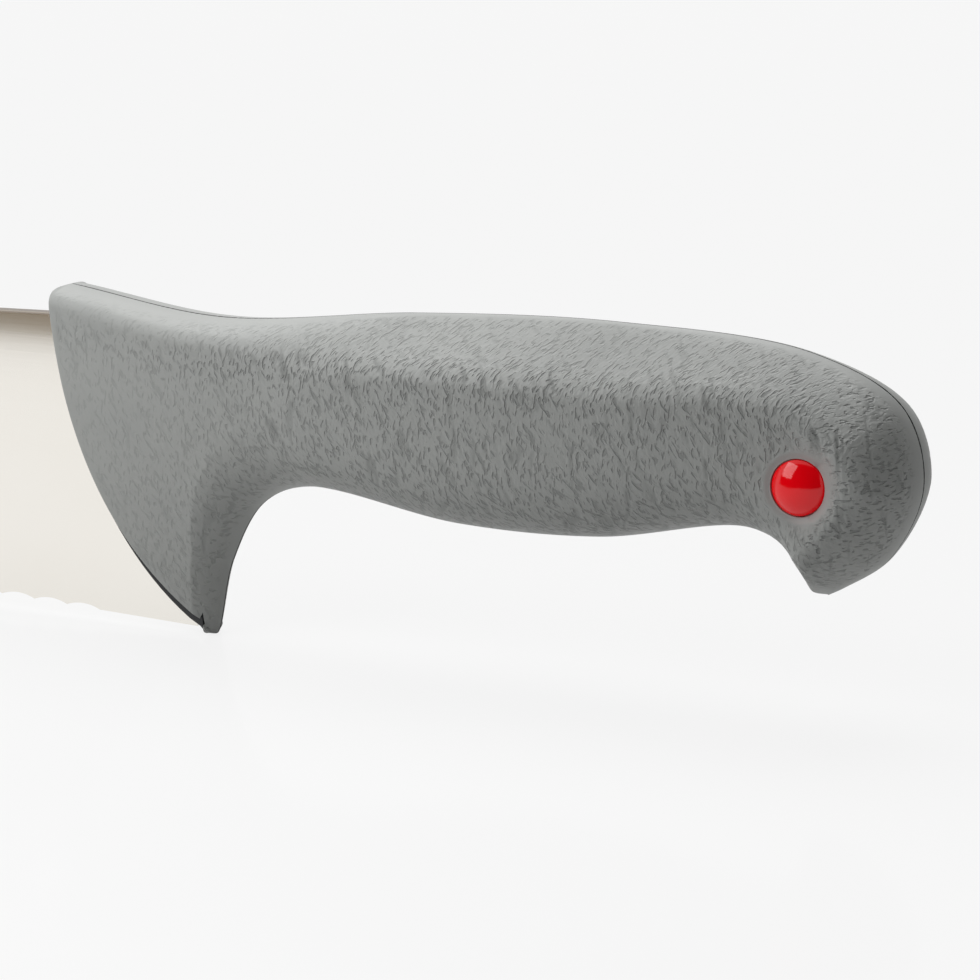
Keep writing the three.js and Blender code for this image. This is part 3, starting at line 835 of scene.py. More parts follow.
def bent(start: Point, knee: Point, end: Point, count: int) -> Array:
    """A bend from one point to another towards a knee.

    Args:
        start: First point.
        knee: Where the two straight ends would meet.
        end: Last point.
        count: Number of stretches.

    Returns:
        The points of the bend, both ends included.
    """
    t = np.linspace(0, 1, count + 1)[:, None]
    a, b, c = (np.array(p, float) for p in (start, knee, end))
    return (1 - t) ** 2 * a + 2 * t * (1 - t) * b + t**2 * c


def shares(line: Array) -> Array:
    """Share of a line's length at each of its points."""
    run = np.concatenate([[0], np.cumsum(np.linalg.norm(np.diff(line, axis=0), axis=1))])
    return run / run[-1]


def looked_up(at: Array, share: Array, rows: Array) -> Array:
    """Both columns of a table at shares between its rows."""
    return np.stack([np.interp(at, share, rows[:, k]) for k in range(2)], axis=-1)


@dataclass
class KnifeSizes:
    """Sizes that more than one piece takes, in millimetres from the foot of the guard."""

    bolster_reach: float = 24.55
    bolster_height: float = 51.3
    handle_reach: float = 114.0
    spine_step: float = 4.5
    blade_length: float = 290.0
    blade_thickness: float = 2.5
    edge_clearance: float = 1.0
    heel_setback: float = 1.65
    tang_reach: float = 78.0
    tang_depth: float = 9.7
    tang_height: float = 13.5
    tang_end_height: float = 9.0
    tang_step: float = 5.0
    tang_slope: float = 4.0
    core_cheek: float = 0.9
    core_rim: float = 1.3
    blade_fit: float = 0.15
    core_fit: float = 0.2
    guard_nub: float = 2.2
    plug_to_butt: float = 14.6
    plug_drop: float = 17.55
    plug_diameter: float = 7.7
    plug_seat_depth: float = 0.6
    plug_fit: float = 0.2
    plug_post_diameter: float = 4.4
    peg_diameter: float = 5.0
    peg_fit: float = 0.3
    peg_places: tuple[float, ...] = (15.0, 41.0, 67.0)

    @property
    def front(self) -> float:
        """Front of the handle."""
        return -self.bolster_reach

    @property
    def spine(self) -> float:
        """Height of the spine at the handle."""
        return self.bolster_height - self.spine_step

    @property
    def heel(self) -> float:
        """Rear end of the edge."""
        return -self.heel_setback

    @property
    def tang_middle(self) -> float:
        """Height of the middle of the tang."""
        return self.spine - self.tang_depth

    @property
    def nub_front(self) -> float:
        """Front of the guard's foot."""
        return self.heel + self.blade_fit + self.core_rim + self.core_fit

    @property
    def plug_place(self) -> Point:
        """The plug's axis in side view."""
        return self.handle_reach - self.plug_to_butt, self.bolster_height - self.plug_drop

    def tang_corners(self, growth: float) -> list[Point]:
        """Corners of the tang in side view, from the spine round to the heel.

        Args:
            growth: How far everything is moved outwards.

        Returns:
            The corners.
        """
        half = self.tang_height / 2 + growth
        end = self.tang_end_height / 2 + growth
        step = self.front + self.tang_step + growth
        tail = self.tang_reach + growth
        heel = self.heel + growth
        middle = self.tang_middle
        return [
            (step, self.spine + growth),
            (step + self.tang_slope, middle + half),
            (tail, middle + end),
            (tail, middle - end),
            (heel + self.tang_slope, middle - half),
            (heel, middle - half - self.tang_slope),
        ]

    def peg_bars(self, name: str, datum: Datum, radius: float, reach: float) -> list[Piece]:
        """Round bars where the pegs cross the tang.

        Args:
            name: What the bars are called.
            datum: Where the foot of the guard is.
            radius: Radius of the bars.
            reach: How far they stand out from the blade's plane.

        Returns:
            The bars.
        """
        profile = [(0.0, -reach), (radius, -reach), (radius, reach), (0.0, reach)]
        return [turned(name, datum, profile, (x, self.tang_middle), 1) for x in self.peg_places]


@dataclass
class Handle:
    """The two grained halves of the handle, welded along the seam."""

    sizes: KnifeSizes
    datum: Datum
    grain: LeatherGrain = field(default_factory=LeatherGrain)
    fade: GrainFade = field(default_factory=GrainFade)
    grain_seeds: tuple[int, int] = (11, 57)
    bolster_corner: float = 0.7
    front_hollow: float = 16.6
    front_lean: float = 3.8
    saddle: Point = (2.5, 3.0)
    back: Point = (36.0, -0.2)
    crest: Point = (68.0, -1.4)
    shoulder_to_butt: float = 16.2
    shoulder_drop: float = 0.7
    butt_drop: float = 17.7
    butt_corner: float = 3.1
    butt_rise: float = 10.5
    butt_undercut: float = 1.6
    guard_foot: float = 1.0
    guard_back: Point = (3.9, 11.4)
    guard_root: float = 9.5
    guard_root_drop: float = 3.4
    neck: Point = (18.0, 27.0)
    palm_front: Point = (44.0, 29.8)
    palm_rear: Point = (66.0, 29.4)
    notch_to_butt: float = 24.5
    notch_drop: float = 25.6
    beak_to_butt: float = 13.6
    beak_drop: float = 8.6
    beak_front: Point = (3.2, 5.4)
    beak_toe: Point = (1.7, 0.5)
    beak_heel: Point = (2.4, 1.3)
    # At each place of the top: depth of the sloping top, its rounding at the seam, share of the swelling.
    top_sections: tuple[tuple[float, float, float], ...] = (
        (5.8, 15, 0),  # bolster
        (5, 18, 0),  # saddle
        (7, 1.2, 0),  # back
        (8.4, 1.2, 0),  # crest
        (6, 3.5, 0.2),  # shoulder
        (8, 11, 1),  # butt, upper corner
        (9, 15, 1),  # butt
        (8, 10, 1),  # butt, lower corner
        (5, 6, 0.3),  # beak's heel
        (5, 6, 0.3),  # beak's tip
    )
    # At each place of the underside: how far up the side the rounding reaches, how far round it has turned
    # there, and its bluntness, 0.5 being a round and 1 a flat slope. The rest of the turn is a ridge.
    under_sections: tuple[tuple[float, float, float], ...] = (
        (1, 1, 0.5),  # front of the foot
        (3, 0.45, 0.65),  # rear of the foot
        (4.4, 0.42, 0.75),  # back of the guard
        (8.5, 0.6, 0.65),  # root of the guard
        (13, 0.9, 0.5),  # neck
        (15, 1, 0.5),  # palm, front
        (15, 1, 0.5),  # palm, rear
        (12, 1, 0.5),  # notch
        (4.5, 1, 0.5),  # beak's front
        (4.5, 1, 0.5),  # beak's toe
        (4.5, 1, 0.5),  # beak's tip
    )
    # The places of the underside and the top that the columns join, in step from the front to the beak.
    under_steps: tuple[float, ...] = (0, 3.4, 4.7, 6.1, 7.3, 8.3, 9, 9.45, 9.8, 10)
    top_steps: tuple[float, ...] = (0, 1, 2, 3, 4, 5, 6, 7, 8, 9)
    bolster_half: float = 6.0
    neck_half: float = 9.4
    belly: Point = (55.0, 11.0)
    waist_half: float = 9.3
    foot_half: float = 2.3
    guard_taper: float = 38.0
    guard_taper_power: float = 1.6
    guard_fade_at: float = 24.5
    pommel_flare: float = 1.8
    flare_start: float = 12.0
    flare_end: float = 7.0
    ridge_softness: float = 2.2
    crest_softness: float = 0.8
    underside_power: float = 3.0
    seam_half: float = 0.1
    seam_depth: float = 0.6
    seam_depth_share: float = 0.3
    ring_width: float = 1.0
    ring_drop: float = 0.18
    sharp: float = 50.0
    front_count: int = 400
    corner_count: int = 24
    count_along: int = 680
    count_across: int = 230
    edge_count: int = 4
    # Columns and rows of the rough grids on which the spacing of the fine one is measured.
    rough_along: int = 241
    rough_rows: tuple[float, ...] = (0.15, 0.5, 0.85)
    rough_columns: int = 65
    rough_across: int = 161
    # Marks the material reads: painted shade in creases, grain strength, pommel share, painted shade on the
    # seam.
    mark_names: tuple[str, ...] = ("grain", "strength", "pommel", "seam")

    def __post_init__(self) -> None:
        """Lays out the lines that the skin is measured from."""
        s = self.sizes
        high, butt = s.bolster_height, s.handle_reach
        butt_height = high - self.butt_drop
        notch = high - self.notch_drop
        tip = (butt - self.beak_to_butt, notch - self.beak_drop)
        neck = high - self.neck[1]
        top = [
            (s.front + self.bolster_corner, high),
            (self.saddle[0], high - self.saddle[1]),
            (self.back[0], high - self.back[1]),
            (self.crest[0], high - self.crest[1]),
            (butt - self.shoulder_to_butt, high - self.shoulder_drop),
            (butt - self.butt_corner, butt_height + self.butt_rise),
            (butt, butt_height),
            (butt - self.butt_corner - self.butt_undercut, butt_height - self.butt_rise),
            (tip[0] + self.beak_heel[0], tip[1] + self.beak_heel[1]),
            tip,
        ]
        under = [
            (s.nub_front, 0),
            (s.nub_front + self.guard_foot, 0),
            self.guard_back,
            (self.guard_root, neck - self.guard_root_drop),
            (self.neck[0], neck),
            (self.palm_front[0], high - self.palm_front[1]),
            (self.palm_rear[0], high - self.palm_rear[1]),
            (butt - self.notch_to_butt, notch),
            (tip[0] - self.beak_front[0], tip[1] + self.beak_front[1]),
            (tip[0] - self.beak_toe[0], tip[1] + self.beak_toe[1]),
            tip,
        ]
        self.top, self.under = Chain(top, self.top_sections), Chain(under, self.under_sections)
        self.tip = np.array(tip)
        foot, corner = (s.nub_front, s.guard_nub), (s.front, high - self.bolster_corner)
        hollow = (s.front + self.front_lean, self.front_hollow)
        upright = bent(foot, hollow, corner, self.front_count)
        rounded = bent(corner, (s.front, high), top[0], self.corner_count)
        self.front_line = np.concatenate([[(s.nub_front, 0)], upright, rounded[1:]])
        self.plan = self.plan_line()

    def plan_line(self) -> Array:
        """Half of the handle's thickness along its length, before its edges are rounded.

        Returns:
            Points of the line, as x and half thickness.
        """
        s = self.sizes
        keys = np.array(
            [
                (s.front, self.bolster_half),
                (self.neck[0], self.neck_half),
                self.belly,
                (s.plug_place[0], self.waist_half),
                (s.handle_reach, self.waist_half),
            ]
        )
        last = len(keys) - 1
        place = np.linspace(0, last, LINE_COUNT + 1)
        low = np.minimum(np.floor(place).astype(int), last)
        a, b, c, d = (keys[np.clip(low + k, 0, last)] for k in (-1, 0, 1, 2))
        return cubic(b, c, (c - a) / 2, (d - b) / 2, (place - low)[:, None])

    def skin(self, points: Array) -> dict[str, Array]:
        """The skin at places in side view.

        Args:
            points: x and z of each place.

        Returns:
            half: distance from the seam to the skin. top, floor: distances to the top and bottom lines.
            facet, flare: depth of the sloping top and share of the swelling there.
        """
        x, z = points.T
        top, (facet, crown, flare) = self.top.nearest(points)
        floor, (reach_up, turn, blunt) = self.under.nearest(points)
        wide = np.interp(x, self.plan[:, 0], self.plan[:, 1])
        in_guard = 1 - smoothstep(x, self.guard_root, self.guard_fade_at)
        taper = np.maximum(1 - z / self.guard_taper, 0) ** self.guard_taper_power * in_guard
        side = wide + (self.foot_half - wide) * taper
        swell = 1 - smoothstep(top, self.flare_end, self.flare_start)
        full = side + self.pommel_flare * flare * swell
        bend = (full**2 - 2 * crown * facet) / facet**2
        limit = np.where(bend < 0, -crown / np.where(bend < 0, bend, -1), np.inf)
        reach = np.minimum(top, limit)
        slope = np.sqrt(np.maximum(2 * crown * reach + bend * reach**2, 0))
        from_floor = np.minimum(floor / reach_up, 1) * turn
        power = self.underside_power
        rounding = ((1 - (1 - from_floor) ** power) / (1 - (1 - turn) ** power)) ** blunt
        softness = self.ridge_softness + (self.crest_softness - self.ridge_softness) * flare
        near = np.maximum(softness - np.abs(full - slope), 0)
        lesser = np.minimum(full, slope) - near**2 / (4 * softness)
        return {"half": lesser * rounding, "top": top, "floor": floor, "facet": facet, "flare": flare}

    def places(self, along: Array, across: Array) -> Array:
        """Places in side view.

        Args:
            along: Share of the way from the front to the beak, for each column.
            across: Share of the way from the underside to the top, for each column and row.

        Returns:
            x and z for each column and row.
        """
        steps = np.arange(len(self.top_steps))
        step = along * steps[-1]
        low = self.under.at(np.interp(step, steps, self.under_steps))[:, None]
        high = self.top.at(np.interp(step, steps, self.top_steps))[:, None]
        first, last = self.under.at(np.zeros(1)), self.top.at(np.zeros(1))
        edge = looked_up(across, shares(self.front_line), self.front_line)
        straight = first + (last - first) * across[..., None]
        pull = np.maximum(1 - step, 0)[:, None, None] ** 2
        return low + (high - low) * across[..., None] + (edge - straight) * pull

    def columns(self) -> Array:
        """Spaces the columns evenly between the front and the beak.

        Returns:
            Share of the way for each column.
        """
        rough = np.linspace(0, 1, self.rough_along)
        rows = np.tile(np.array(self.rough_rows), (len(rough), 1))
        steps = np.linalg.norm(np.diff(self.places(rough, rows), axis=0), axis=2).max(axis=1)
        run = np.concatenate([[0], np.cumsum(steps)])
        return np.interp(np.linspace(0, run[-1], self.count_along + 1), run, rough)

    def rows(self, along: Array) -> Array:
        """Spaces the rows evenly over the skin, from the underside round to the top.

        Args:
            along: Share of the way for each column.

        Returns:
            Share of the way across, for each column and row.
        """
        rough_along = np.linspace(0, 1, self.rough_columns)
        rough = (1 - np.cos(np.linspace(0, math.pi, self.rough_across))) / 2
        side = self.places(rough_along, np.tile(rough, (len(rough_along), 1)))
        half = self.skin(side.reshape(-1, 2))["half"].reshape(side.shape[:2])
        steps = np.linalg.norm(np.diff(np.dstack([side, half]), axis=1), axis=2) + TINY
        even = np.linspace(0, 1, self.count_across + 1)
        found = []
        for row in steps:
            run = np.concatenate([[0], np.cumsum(row)])
            found.append(np.interp(even, run / run[-1], rough))
        table = np.array(found)
        return np.stack([np.interp(along, rough_along, table[:, j]) for j in range(len(even))], axis=1)

    def from_plug(self, points: Array) -> Array:
        """Distance from the plug's axis to places in side view."""
        return np.linalg.norm(points - np.array(self.sizes.plug_place), axis=1)

    def calm(self, points: Array, skin: dict[str, Array]) -> Array:
        """Where the mould was left smooth: the seam, the plug's ring, the pommel's crease, the beak's tip.

        The grain is weaker on the bolster and the sloping top, and strongest on the ridge below it.

        Args:
            points: x and z of each place.
            skin: The skin there.

        Returns:
            Strength of the grain at each place.
        """
        fade, top, facet, flare = self.fade, skin["top"], skin["facet"], skin["flare"]
        ring = self.sizes.plug_diameter / 2 + self.ring_width
        off_ring = smoothstep(self.from_plug(points), ring, ring + fade.ring_run)
        off_seam = smoothstep(top, *fade.seam) * smoothstep(skin["floor"], *fade.underside)
        middle = (self.flare_start + self.flare_end) / 2 + fade.crease_drop
        crease = np.exp(-(((top - middle) / fade.crease_width) ** 2)) * smoothstep(flare, *fade.crease_flare)
        off_tip = smoothstep(np.linalg.norm(points - self.tip, axis=1), *fade.tip)
        ridge = np.exp(-(((top - facet) / fade.ridge_width) ** 2))
        behind_guard = smoothstep(points[:, 0], self.sizes.front, self.guard_fade_at + fade.bolster_run)
        below_top = np.maximum(smoothstep(top, facet - fade.slope_run, facet), flare)
        on_bolster = fade.bolster_left + (1 - fade.bolster_left) * behind_guard
        on_slope = fade.slope_left + (1 - fade.slope_left) * below_top
        lasting = on_bolster * on_slope * (fade.off_ridge + fade.ridge_gain * ridge)
        return off_ring * off_seam * (1 - fade.crease_loss * crease) * off_tip * lasting

    def shell(self) -> tuple[Array, Array, Array, Array]:
        """The smooth skin of a half.

        Returns:
            For each column and row: its place, with Y as the distance from the seam, the outward direction,
            the strength of the grain and the share of the pommel.
        """
        along = self.columns()
        side = self.places(along, self.rows(along))
        shape, flat = side.shape[:2], side.reshape(-1, 2)
        skin = self.skin(flat)
        seat = self.sizes.plug_diameter / 2 + self.sizes.plug_fit
        dip = self.ring_drop * (1 - smoothstep(self.from_plug(flat), seat, seat + self.ring_width))
        half = np.maximum(skin["half"] - dip, self.seam_half).reshape(shape)
        strength = self.calm(flat, skin).reshape(shape)
        strength *= smoothstep(np.arange(len(side)), *self.fade.front_columns)[:, None]
        swollen = 1 - smoothstep(skin["top"], self.flare_end, self.flare_start)
        pommel = smoothstep(skin["flare"], *self.fade.pommel) * swollen
        spot = np.dstack([side[..., 0], half, side[..., 1]])
        outward = np.cross(np.gradient(spot, axis=0), np.gradient(spot, axis=1))
        outward *= np.sign(outward[..., 1:2])
        outward /= np.maximum(np.linalg.norm(outward, axis=2, keepdims=True), TINY)
        return spot, outward, strength, pommel.reshape(shape)

    def grid(self, shell: tuple[Array, Array, Array, Array], seed: int) -> tuple[Array, Array]:
        """Corners of a half's outside, with its grain, rounded front edge and the groove along the seam.

        Args:
            shell: The smooth skin.
            seed: Which grain.

        Returns:
            Corners by column and row, with Y as the distance from the seam, and at each the depth of the
            grain as a share, which paints shade into the creases, its strength, the share of the pommel, and
            1 on the seam, where shade is painted along its groove.
        """
        spot, outward, strength, pommel = shell
        depths = self.grain.depth(spot.reshape(-1, 3), seed)
        creases, dips = (depth.reshape(strength.shape) * strength for depth in depths)
        skin = spot - outward * (creases + dips)[..., None]
        first, second = spot[0], skin[1]
        radius = np.minimum(np.linalg.norm(second - first, axis=1), second[:, 1] / 2)
        columns = [first * ON_SEAM]
        for turn in np.linspace(math.pi / 2, 0, self.edge_count, endpoint=False):
            column = second + (first - second) * math.sin(turn)
            column[:, 1] = second[:, 1] - radius * (1 - math.cos(turn))
            columns.append(column)
        body = np.concatenate([np.array(columns), skin[1:]])
        across = body[:, 0] - body[:, -1]
        length = np.linalg.norm(across[:, ::2], axis=1, keepdims=True)
        depth = np.minimum(self.seam_depth, self.seam_depth_share * length)
        inset = across / np.maximum(length, TINY) * depth
        groove_top = (body[:, -1] + inset) * ON_SEAM
        groove_under = (body[:, 0] - inset) * ON_SEAM
        whole = np.concatenate([groove_under[:, None], body, groove_top[:, None]], axis=1)
        marks = np.zeros((*whole.shape[:2], len(self.mark_names)))
        # Painted shade: the depth of the creases as a share, by which the material darkens the skin.
        shade = np.clip(creases / self.grain.deepest, 0, 1)
        marks[-len(skin) + 1 :, 1:-1, :3] = np.dstack([shade, np.minimum(strength, 1), pommel])[1:]
        # Painted shade: the corners of the groove along the seam take the dark seam colour.
        marks[:, [0, 1, -2, -1], 3] = 1
        return whole, marks

    def half_blank(self, name: str, grid: Array, marks: Array, side: Side) -> Piece:
        """Closes the outside of a half with its flat face on the seam.

        Args:
            name: The object's name.
            grid: Corners by column and row.
            marks: What the material reads at each corner, in the order of their names.
            side: Which half.

        Returns:
            The half, with nothing cut into it.
        """
        columns, rows = grid.shape[:2]
        number = np.arange(columns * rows).reshape(columns, rows)
        quads = np.stack([number[:-1, :-1], number[1:, :-1], number[1:, 1:], number[:-1, 1:]], axis=-1)
        rim = [*number[:, 0], *number[::-1, -1], *number[0, -2:0:-1]]
        corners = np.clip(self.datum.metres(grid.reshape(-1, 3) * (1, side.value, 1)), *CAD_BOX)
        mesh = bpy.data.meshes.new(name)
        mesh.from_pydata(corners.tolist(), [], [*quads.reshape(-1, 4).tolist(), [int(i) for i in rim]])
        for k, label in enumerate(self.mark_names):
            mark = mesh.attributes.new(label, "FLOAT", "POINT")
            mark.data.foreach_set("value", marks[..., k].ravel().astype(np.float32))
        return welded(name, mesh, MERGE, slivers=False)

    def pocket(self) -> Piece:
        """The room that the core takes inside the handle, less the pegs that cross it.

        Returns:
            The pocket as a solid.
        """
        s = self.sizes
        growth = s.blade_fit + s.core_rim + s.core_fit
        ahead = s.front - s.bolster_reach
        outline = [
            (ahead, s.spine + growth),
            *s.tang_corners(growth),
            (s.heel + growth, -s.guard_nub),
            (ahead, -s.guard_nub),
        ]
        thickness = s.blade_thickness + 2 * (s.blade_fit + s.core_cheek + s.core_fit)
        room = plate("pocket", self.datum, outline, thickness)
        for bar in s.peg_bars("peg", self.datum, s.peg_diameter / 2, thickness):
            carve(room, bar, Carving.CUT)
        return room

    @property
    def plug_seat(self) -> float:
        """Distance from the seam to the floor that the plug's head sits on."""
        at_plug = np.array([self.sizes.plug_place])
        return float(self.skin(at_plug)["half"][0]) - self.sizes.plug_seat_depth

    def plug_hole(self) -> list[Point]:
        """Half of the outline of the room for a plug, from past the seam to past the skin.

        Returns:
            Radius and distance from the seam.
        """
        s = self.sizes
        bore = s.plug_post_diameter / 2 + s.plug_fit
        head = s.plug_diameter / 2 + s.plug_fit
        seat, inside, outside = self.plug_seat, -1, 2 * self.belly[1]
        return [(0, inside), (bore, inside), (bore, seat), (head, seat), (head, outside), (0, outside)]

    def build(self) -> dict[Side, Piece]:
        """Builds both halves.

        Returns:
            Each half, by its side.
        """
        shell, hole = self.shell(), self.plug_hole()
        made = {}
        for side, seed in zip(Side, self.grain_seeds):
            piece = self.half_blank(f"grained_{side.word}_half", *self.grid(shell, seed), side)
            carve(piece, self.pocket(), Carving.CUT)
            tool = turned("hole", self.datum, hole, self.sizes.plug_place, side.value)
            carve(piece, tool, Carving.CUT)
            smooth_shaded(piece, self.sharp)
            made[side] = piece
        return made

    def dress(self, halves: dict[Side, Piece]) -> None:
        """Gives both halves their finish and sets them on the knife.

        Args:
            halves: Each half, by its side.
        """
        material = GrainedPolypropylene().material()
        for side, node in ((Side.NEAR, "handle_near_half"), (Side.FAR, "handle_far_half")):
            dress(halves[side], material)
            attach(halves[side], "knife")
            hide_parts(node)


@dataclass
class Blade:
    """The steel blade and its tang, ground on the far side only."""

    sizes: KnifeSizes
    datum: Datum
    edge_rise: float = 1.73
    spine_fall: float = 1.8
    tip_drop: float = 16.0
    belly_length: float = 132.0
    belly_knee_share: float = 0.4
    nose_length: float = 62.0
    nose_knee_share: float = 0.45
    scallop_pitch: float = 6.0
    scallop_depth: float = 0.6
    grind_angle: float = 18.0
    plain_heel: float = 17.65
    plain_tip: float = 16.0
    spine_round: float = 0.25
    # The rounding takes at most this share of the thickness and height, and its corner is cut by this share.
    round_share: float = 0.3
    corner_share: float = 0.3
    # Where the grind would pass the spine it is lowered by this factor, up to a number of times.
    grind_step: float = 0.93
    grind_tries: int = 40
    sharp: float = 8.0
    scallop_count: int = 12
    plain_step: float = 0.8
    edge_count: int = 200
    belly_count: int = 600
    nose_count: int = 300

    @property
    def tip(self) -> Point:
        """The point of the blade."""
        return self.sizes.front - self.sizes.blade_length, self.sizes.spine - self.tip_drop

    def edge_line(self) -> Array:
        """The cutting edge before it is hollowed, from the heel to the tip.

        Returns:
            Points of the line.
        """
        s = self.sizes
        rise = math.tan(math.radians(self.edge_rise))

        def low(x: float) -> Point:
            """Point of the straight edge at x."""
            return x, s.edge_clearance + rise * (s.heel - x)

        bend = self.tip[0] + self.belly_length
        knee = self.tip[0] + self.belly_length * self.belly_knee_share
        straight = np.linspace(low(s.heel), low(bend), self.edge_count)
        return np.concatenate([straight, bent(low(bend), low(knee), self.tip, self.belly_count)[1:]])

    def spine_line(self) -> Array:
        """Top of the blade, from the tip to the tang.

        Returns:
            Points of the line.
        """
        s = self.sizes
        fall = math.tan(math.radians(self.spine_fall))

        def high(x: float) -> Point:
            """Point of the straight spine at x."""
            return x, s.spine - fall * (s.front - x)

        bend = self.tip[0] + self.nose_length
        knee = self.tip[0] + self.nose_length * self.nose_knee_share
        tail = [(s.front, s.spine), *s.tang_corners(0)[:3]]
        return np.concatenate([bent(self.tip, high(knee), high(bend), self.nose_count), tail])

    def stations(self, length: float) -> tuple[Array, Array]:
        """Where the sections of the blade stand, a way along the edge from the heel.

        Args:
            length: Length of the edge.

        Returns:
            The stations, and how deep the edge is hollowed at each.
        """
        count = int((length - self.plain_heel - self.plain_tip) // self.scallop_pitch)
        end = self.plain_heel + count * self.scallop_pitch
        heel = np.arange(0, self.plain_heel, self.plain_step)
        middle = np.linspace(self.plain_heel, end, count * self.scallop_count + 1)
        rest = np.linspace(end, length, int((length - end) / self.plain_step) + 1)[1:]
        along = np.concatenate([heel, middle, rest])
        part = ((along - self.plain_heel) / self.scallop_pitch) % 1 * 2 - 1
        hollowed = (along >= self.plain_heel) & (along <= end)
        return along, np.where(hollowed, self.scallop_depth * (1 - part**2), 0)

    def sections(self) -> Array:
        """Sections of the blade from the heel to the tip.

        Returns:
            Corners by station and place round the section.
        """
        s = self.sizes
        line = self.edge_line()
        share = shares(line)
        length = float(np.linalg.norm(np.diff(line, axis=0), axis=1).sum())
        along, hollow = self.stations(length)
        at = looked_up(along / length, share, line)
        way = looked_up(along / length, share, np.gradient(line, axis=0))
        way /= np.linalg.norm(way, axis=1, keepdims=True)
        inward = np.stack([way[:, 1], -way[:, 0]], axis=1)
        edge = at + inward * hollow[:, None]
        edge[-1] = self.tip
        spine = self.spine_line()
        top = np.interp(edge[:, 0], spine[:, 0], spine[:, 1])
        top = np.maximum(top, edge[:, 1])
        climb = s.blade_thickness / math.tan(math.radians(self.grind_angle))
        share_up = np.ones(len(edge))
        for _ in range(self.grind_tries):
            spot = edge + inward * (climb * share_up)[:, None]
            over = spot[:, 1] - np.interp(spot[:, 0], spine[:, 0], spine[:, 1])
            share_up = np.where(over > 0, share_up * self.grind_step, share_up)
        share_up[-1] = 0
        spot = edge + inward * (climb * share_up)[:, None]
        near = -s.blade_thickness / 2
        far = near + s.blade_thickness * share_up
        curve = np.minimum(self.spine_round, self.round_share * (far - near))
        curve = np.minimum(curve, self.round_share * (top - edge[:, 1]))
        under_top = np.minimum(top - curve, np.maximum(spot[:, 1], edge[:, 1]))
        far_top = np.where(share_up < 1, under_top, top - curve)
        far_x = np.where(share_up < 1, spot[:, 0], edge[:, 0])
        x, z = edge.T
        corner = self.corner_share * curve
        rows = [
            (x, near + 0 * x, z),
            (x, near + 0 * x, top - curve),
            (x, near + corner, top - corner),
            (x, near + curve, top),
            (x, far - curve, top),
            (x, far - corner, top - corner),
            (far_x, far, far_top),
            (spot[:, 0], far, spot[:, 1]),
        ]
        return np.stack([np.stack(row, axis=1) for row in rows], axis=1)

    def build(self) -> Piece:
        """Builds the blade with its tang and the holes for the pegs.

        Returns:
            The blade.
        """
        s = self.sizes
        rings = self.sections()
        count, around = rings.shape[:2]
        number = np.arange(count * around).reshape(count, around)
        faces = [*ring_faces(number), number[0].tolist()]
        piece = solid_object("scalloped_blade", self.datum.metres(rings.reshape(-1, 3)), faces, MERGE)
        _, _, tail_top, tail_low, root, heel = s.tang_corners(0)
        inside = s.heel - s.tang_height / 2
        outline = [(inside, tail_top[1]), tail_top, tail_low, root, heel, (inside, heel[1])]
        carve(piece, plate("tang", self.datum, outline, s.blade_thickness), Carving.JOIN)
        for bar in s.peg_bars("peg_hole", self.datum, s.peg_diameter / 2 + s.peg_fit, s.blade_thickness):
            carve(piece, bar, Carving.CUT)
        smooth_shaded(piece, self.sharp)
        return piece

    def dress(self, piece: Piece) -> None:
        """Gives the blade its finish and sets it on the knife.

        Args:
            piece: The blade.
        """
        dress(piece, PolishedStainless().material())
        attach(piece, "knife")
        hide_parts("blade")


@dataclass
class CodePlugs:
    """The red plugs that are pressed into both sides of the pommel."""

    sizes: KnifeSizes
    datum: Datum
    seat: float
    rim: float = 0.5
    dome: float = 1.6
    chamfer: float = 0.5
    seat_gap: float = 0.1
    post_gap: float = 0.6
    sharp: float = 40.0
    dome_count: int = 28

    def profile(self) -> list[Point]:
        """Half of the plug's outline, from the end of its post to the top of its dome.

        Returns:
            Radius and distance from the seam.
        """
        head = self.sizes.plug_diameter / 2
        post = self.sizes.plug_post_diameter / 2
        floor = self.seat + self.seat_gap
        ball = (head**2 + self.dome**2) / (2 * self.dome)
        spread = math.asin(head / ball)
        end = self.seat_gap + self.post_gap + self.seat_gap
        rows = [(0, end), (post - self.chamfer, end), (post, end + self.chamfer)]
        rows += [(post, floor), (head, floor)]
        for i in range(self.dome_count + 1):
            turn = spread * (1 - i / self.dome_count)
            rows.append((ball * math.sin(turn), floor + self.rim + self.dome - ball * (1 - math.cos(turn))))
        return rows

    def build(self) -> dict[Side, Piece]:
        """Builds both plugs.

        Returns:
            Each plug, by its side.
        """
        made = {}
        for side in Side:
            name = f"red_{side.word}_plug"
            made[side] = turned(name, self.datum, self.profile(), self.sizes.plug_place, side.value)
            smooth_shaded(made[side], self.sharp)
        return made

    def dress(self, plugs: dict[Side, Piece]) -> None:
        """Gives the plugs their finish and sets each on its own body.

        Args:
            plugs: Each plug, by its side.
        """
        material = PLUG_ABS.material()
        for side, word in ((Side.NEAR, "near"), (Side.FAR, "far")):
            dress(plugs[side], material)
            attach(plugs[side], f"{word}_plug")
            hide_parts(f"code_plug_{word}")


@dataclass
class TangCore:
    """The dark core, whose solid is kept as it is."""

    node: str = "tang_core"

    def dress(self) -> Piece:
        """Gives the core its finish.

        Returns:
            The core.
        """
        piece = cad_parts[self.node]
        dress(piece, CORE_NYLON.material())
        return piece


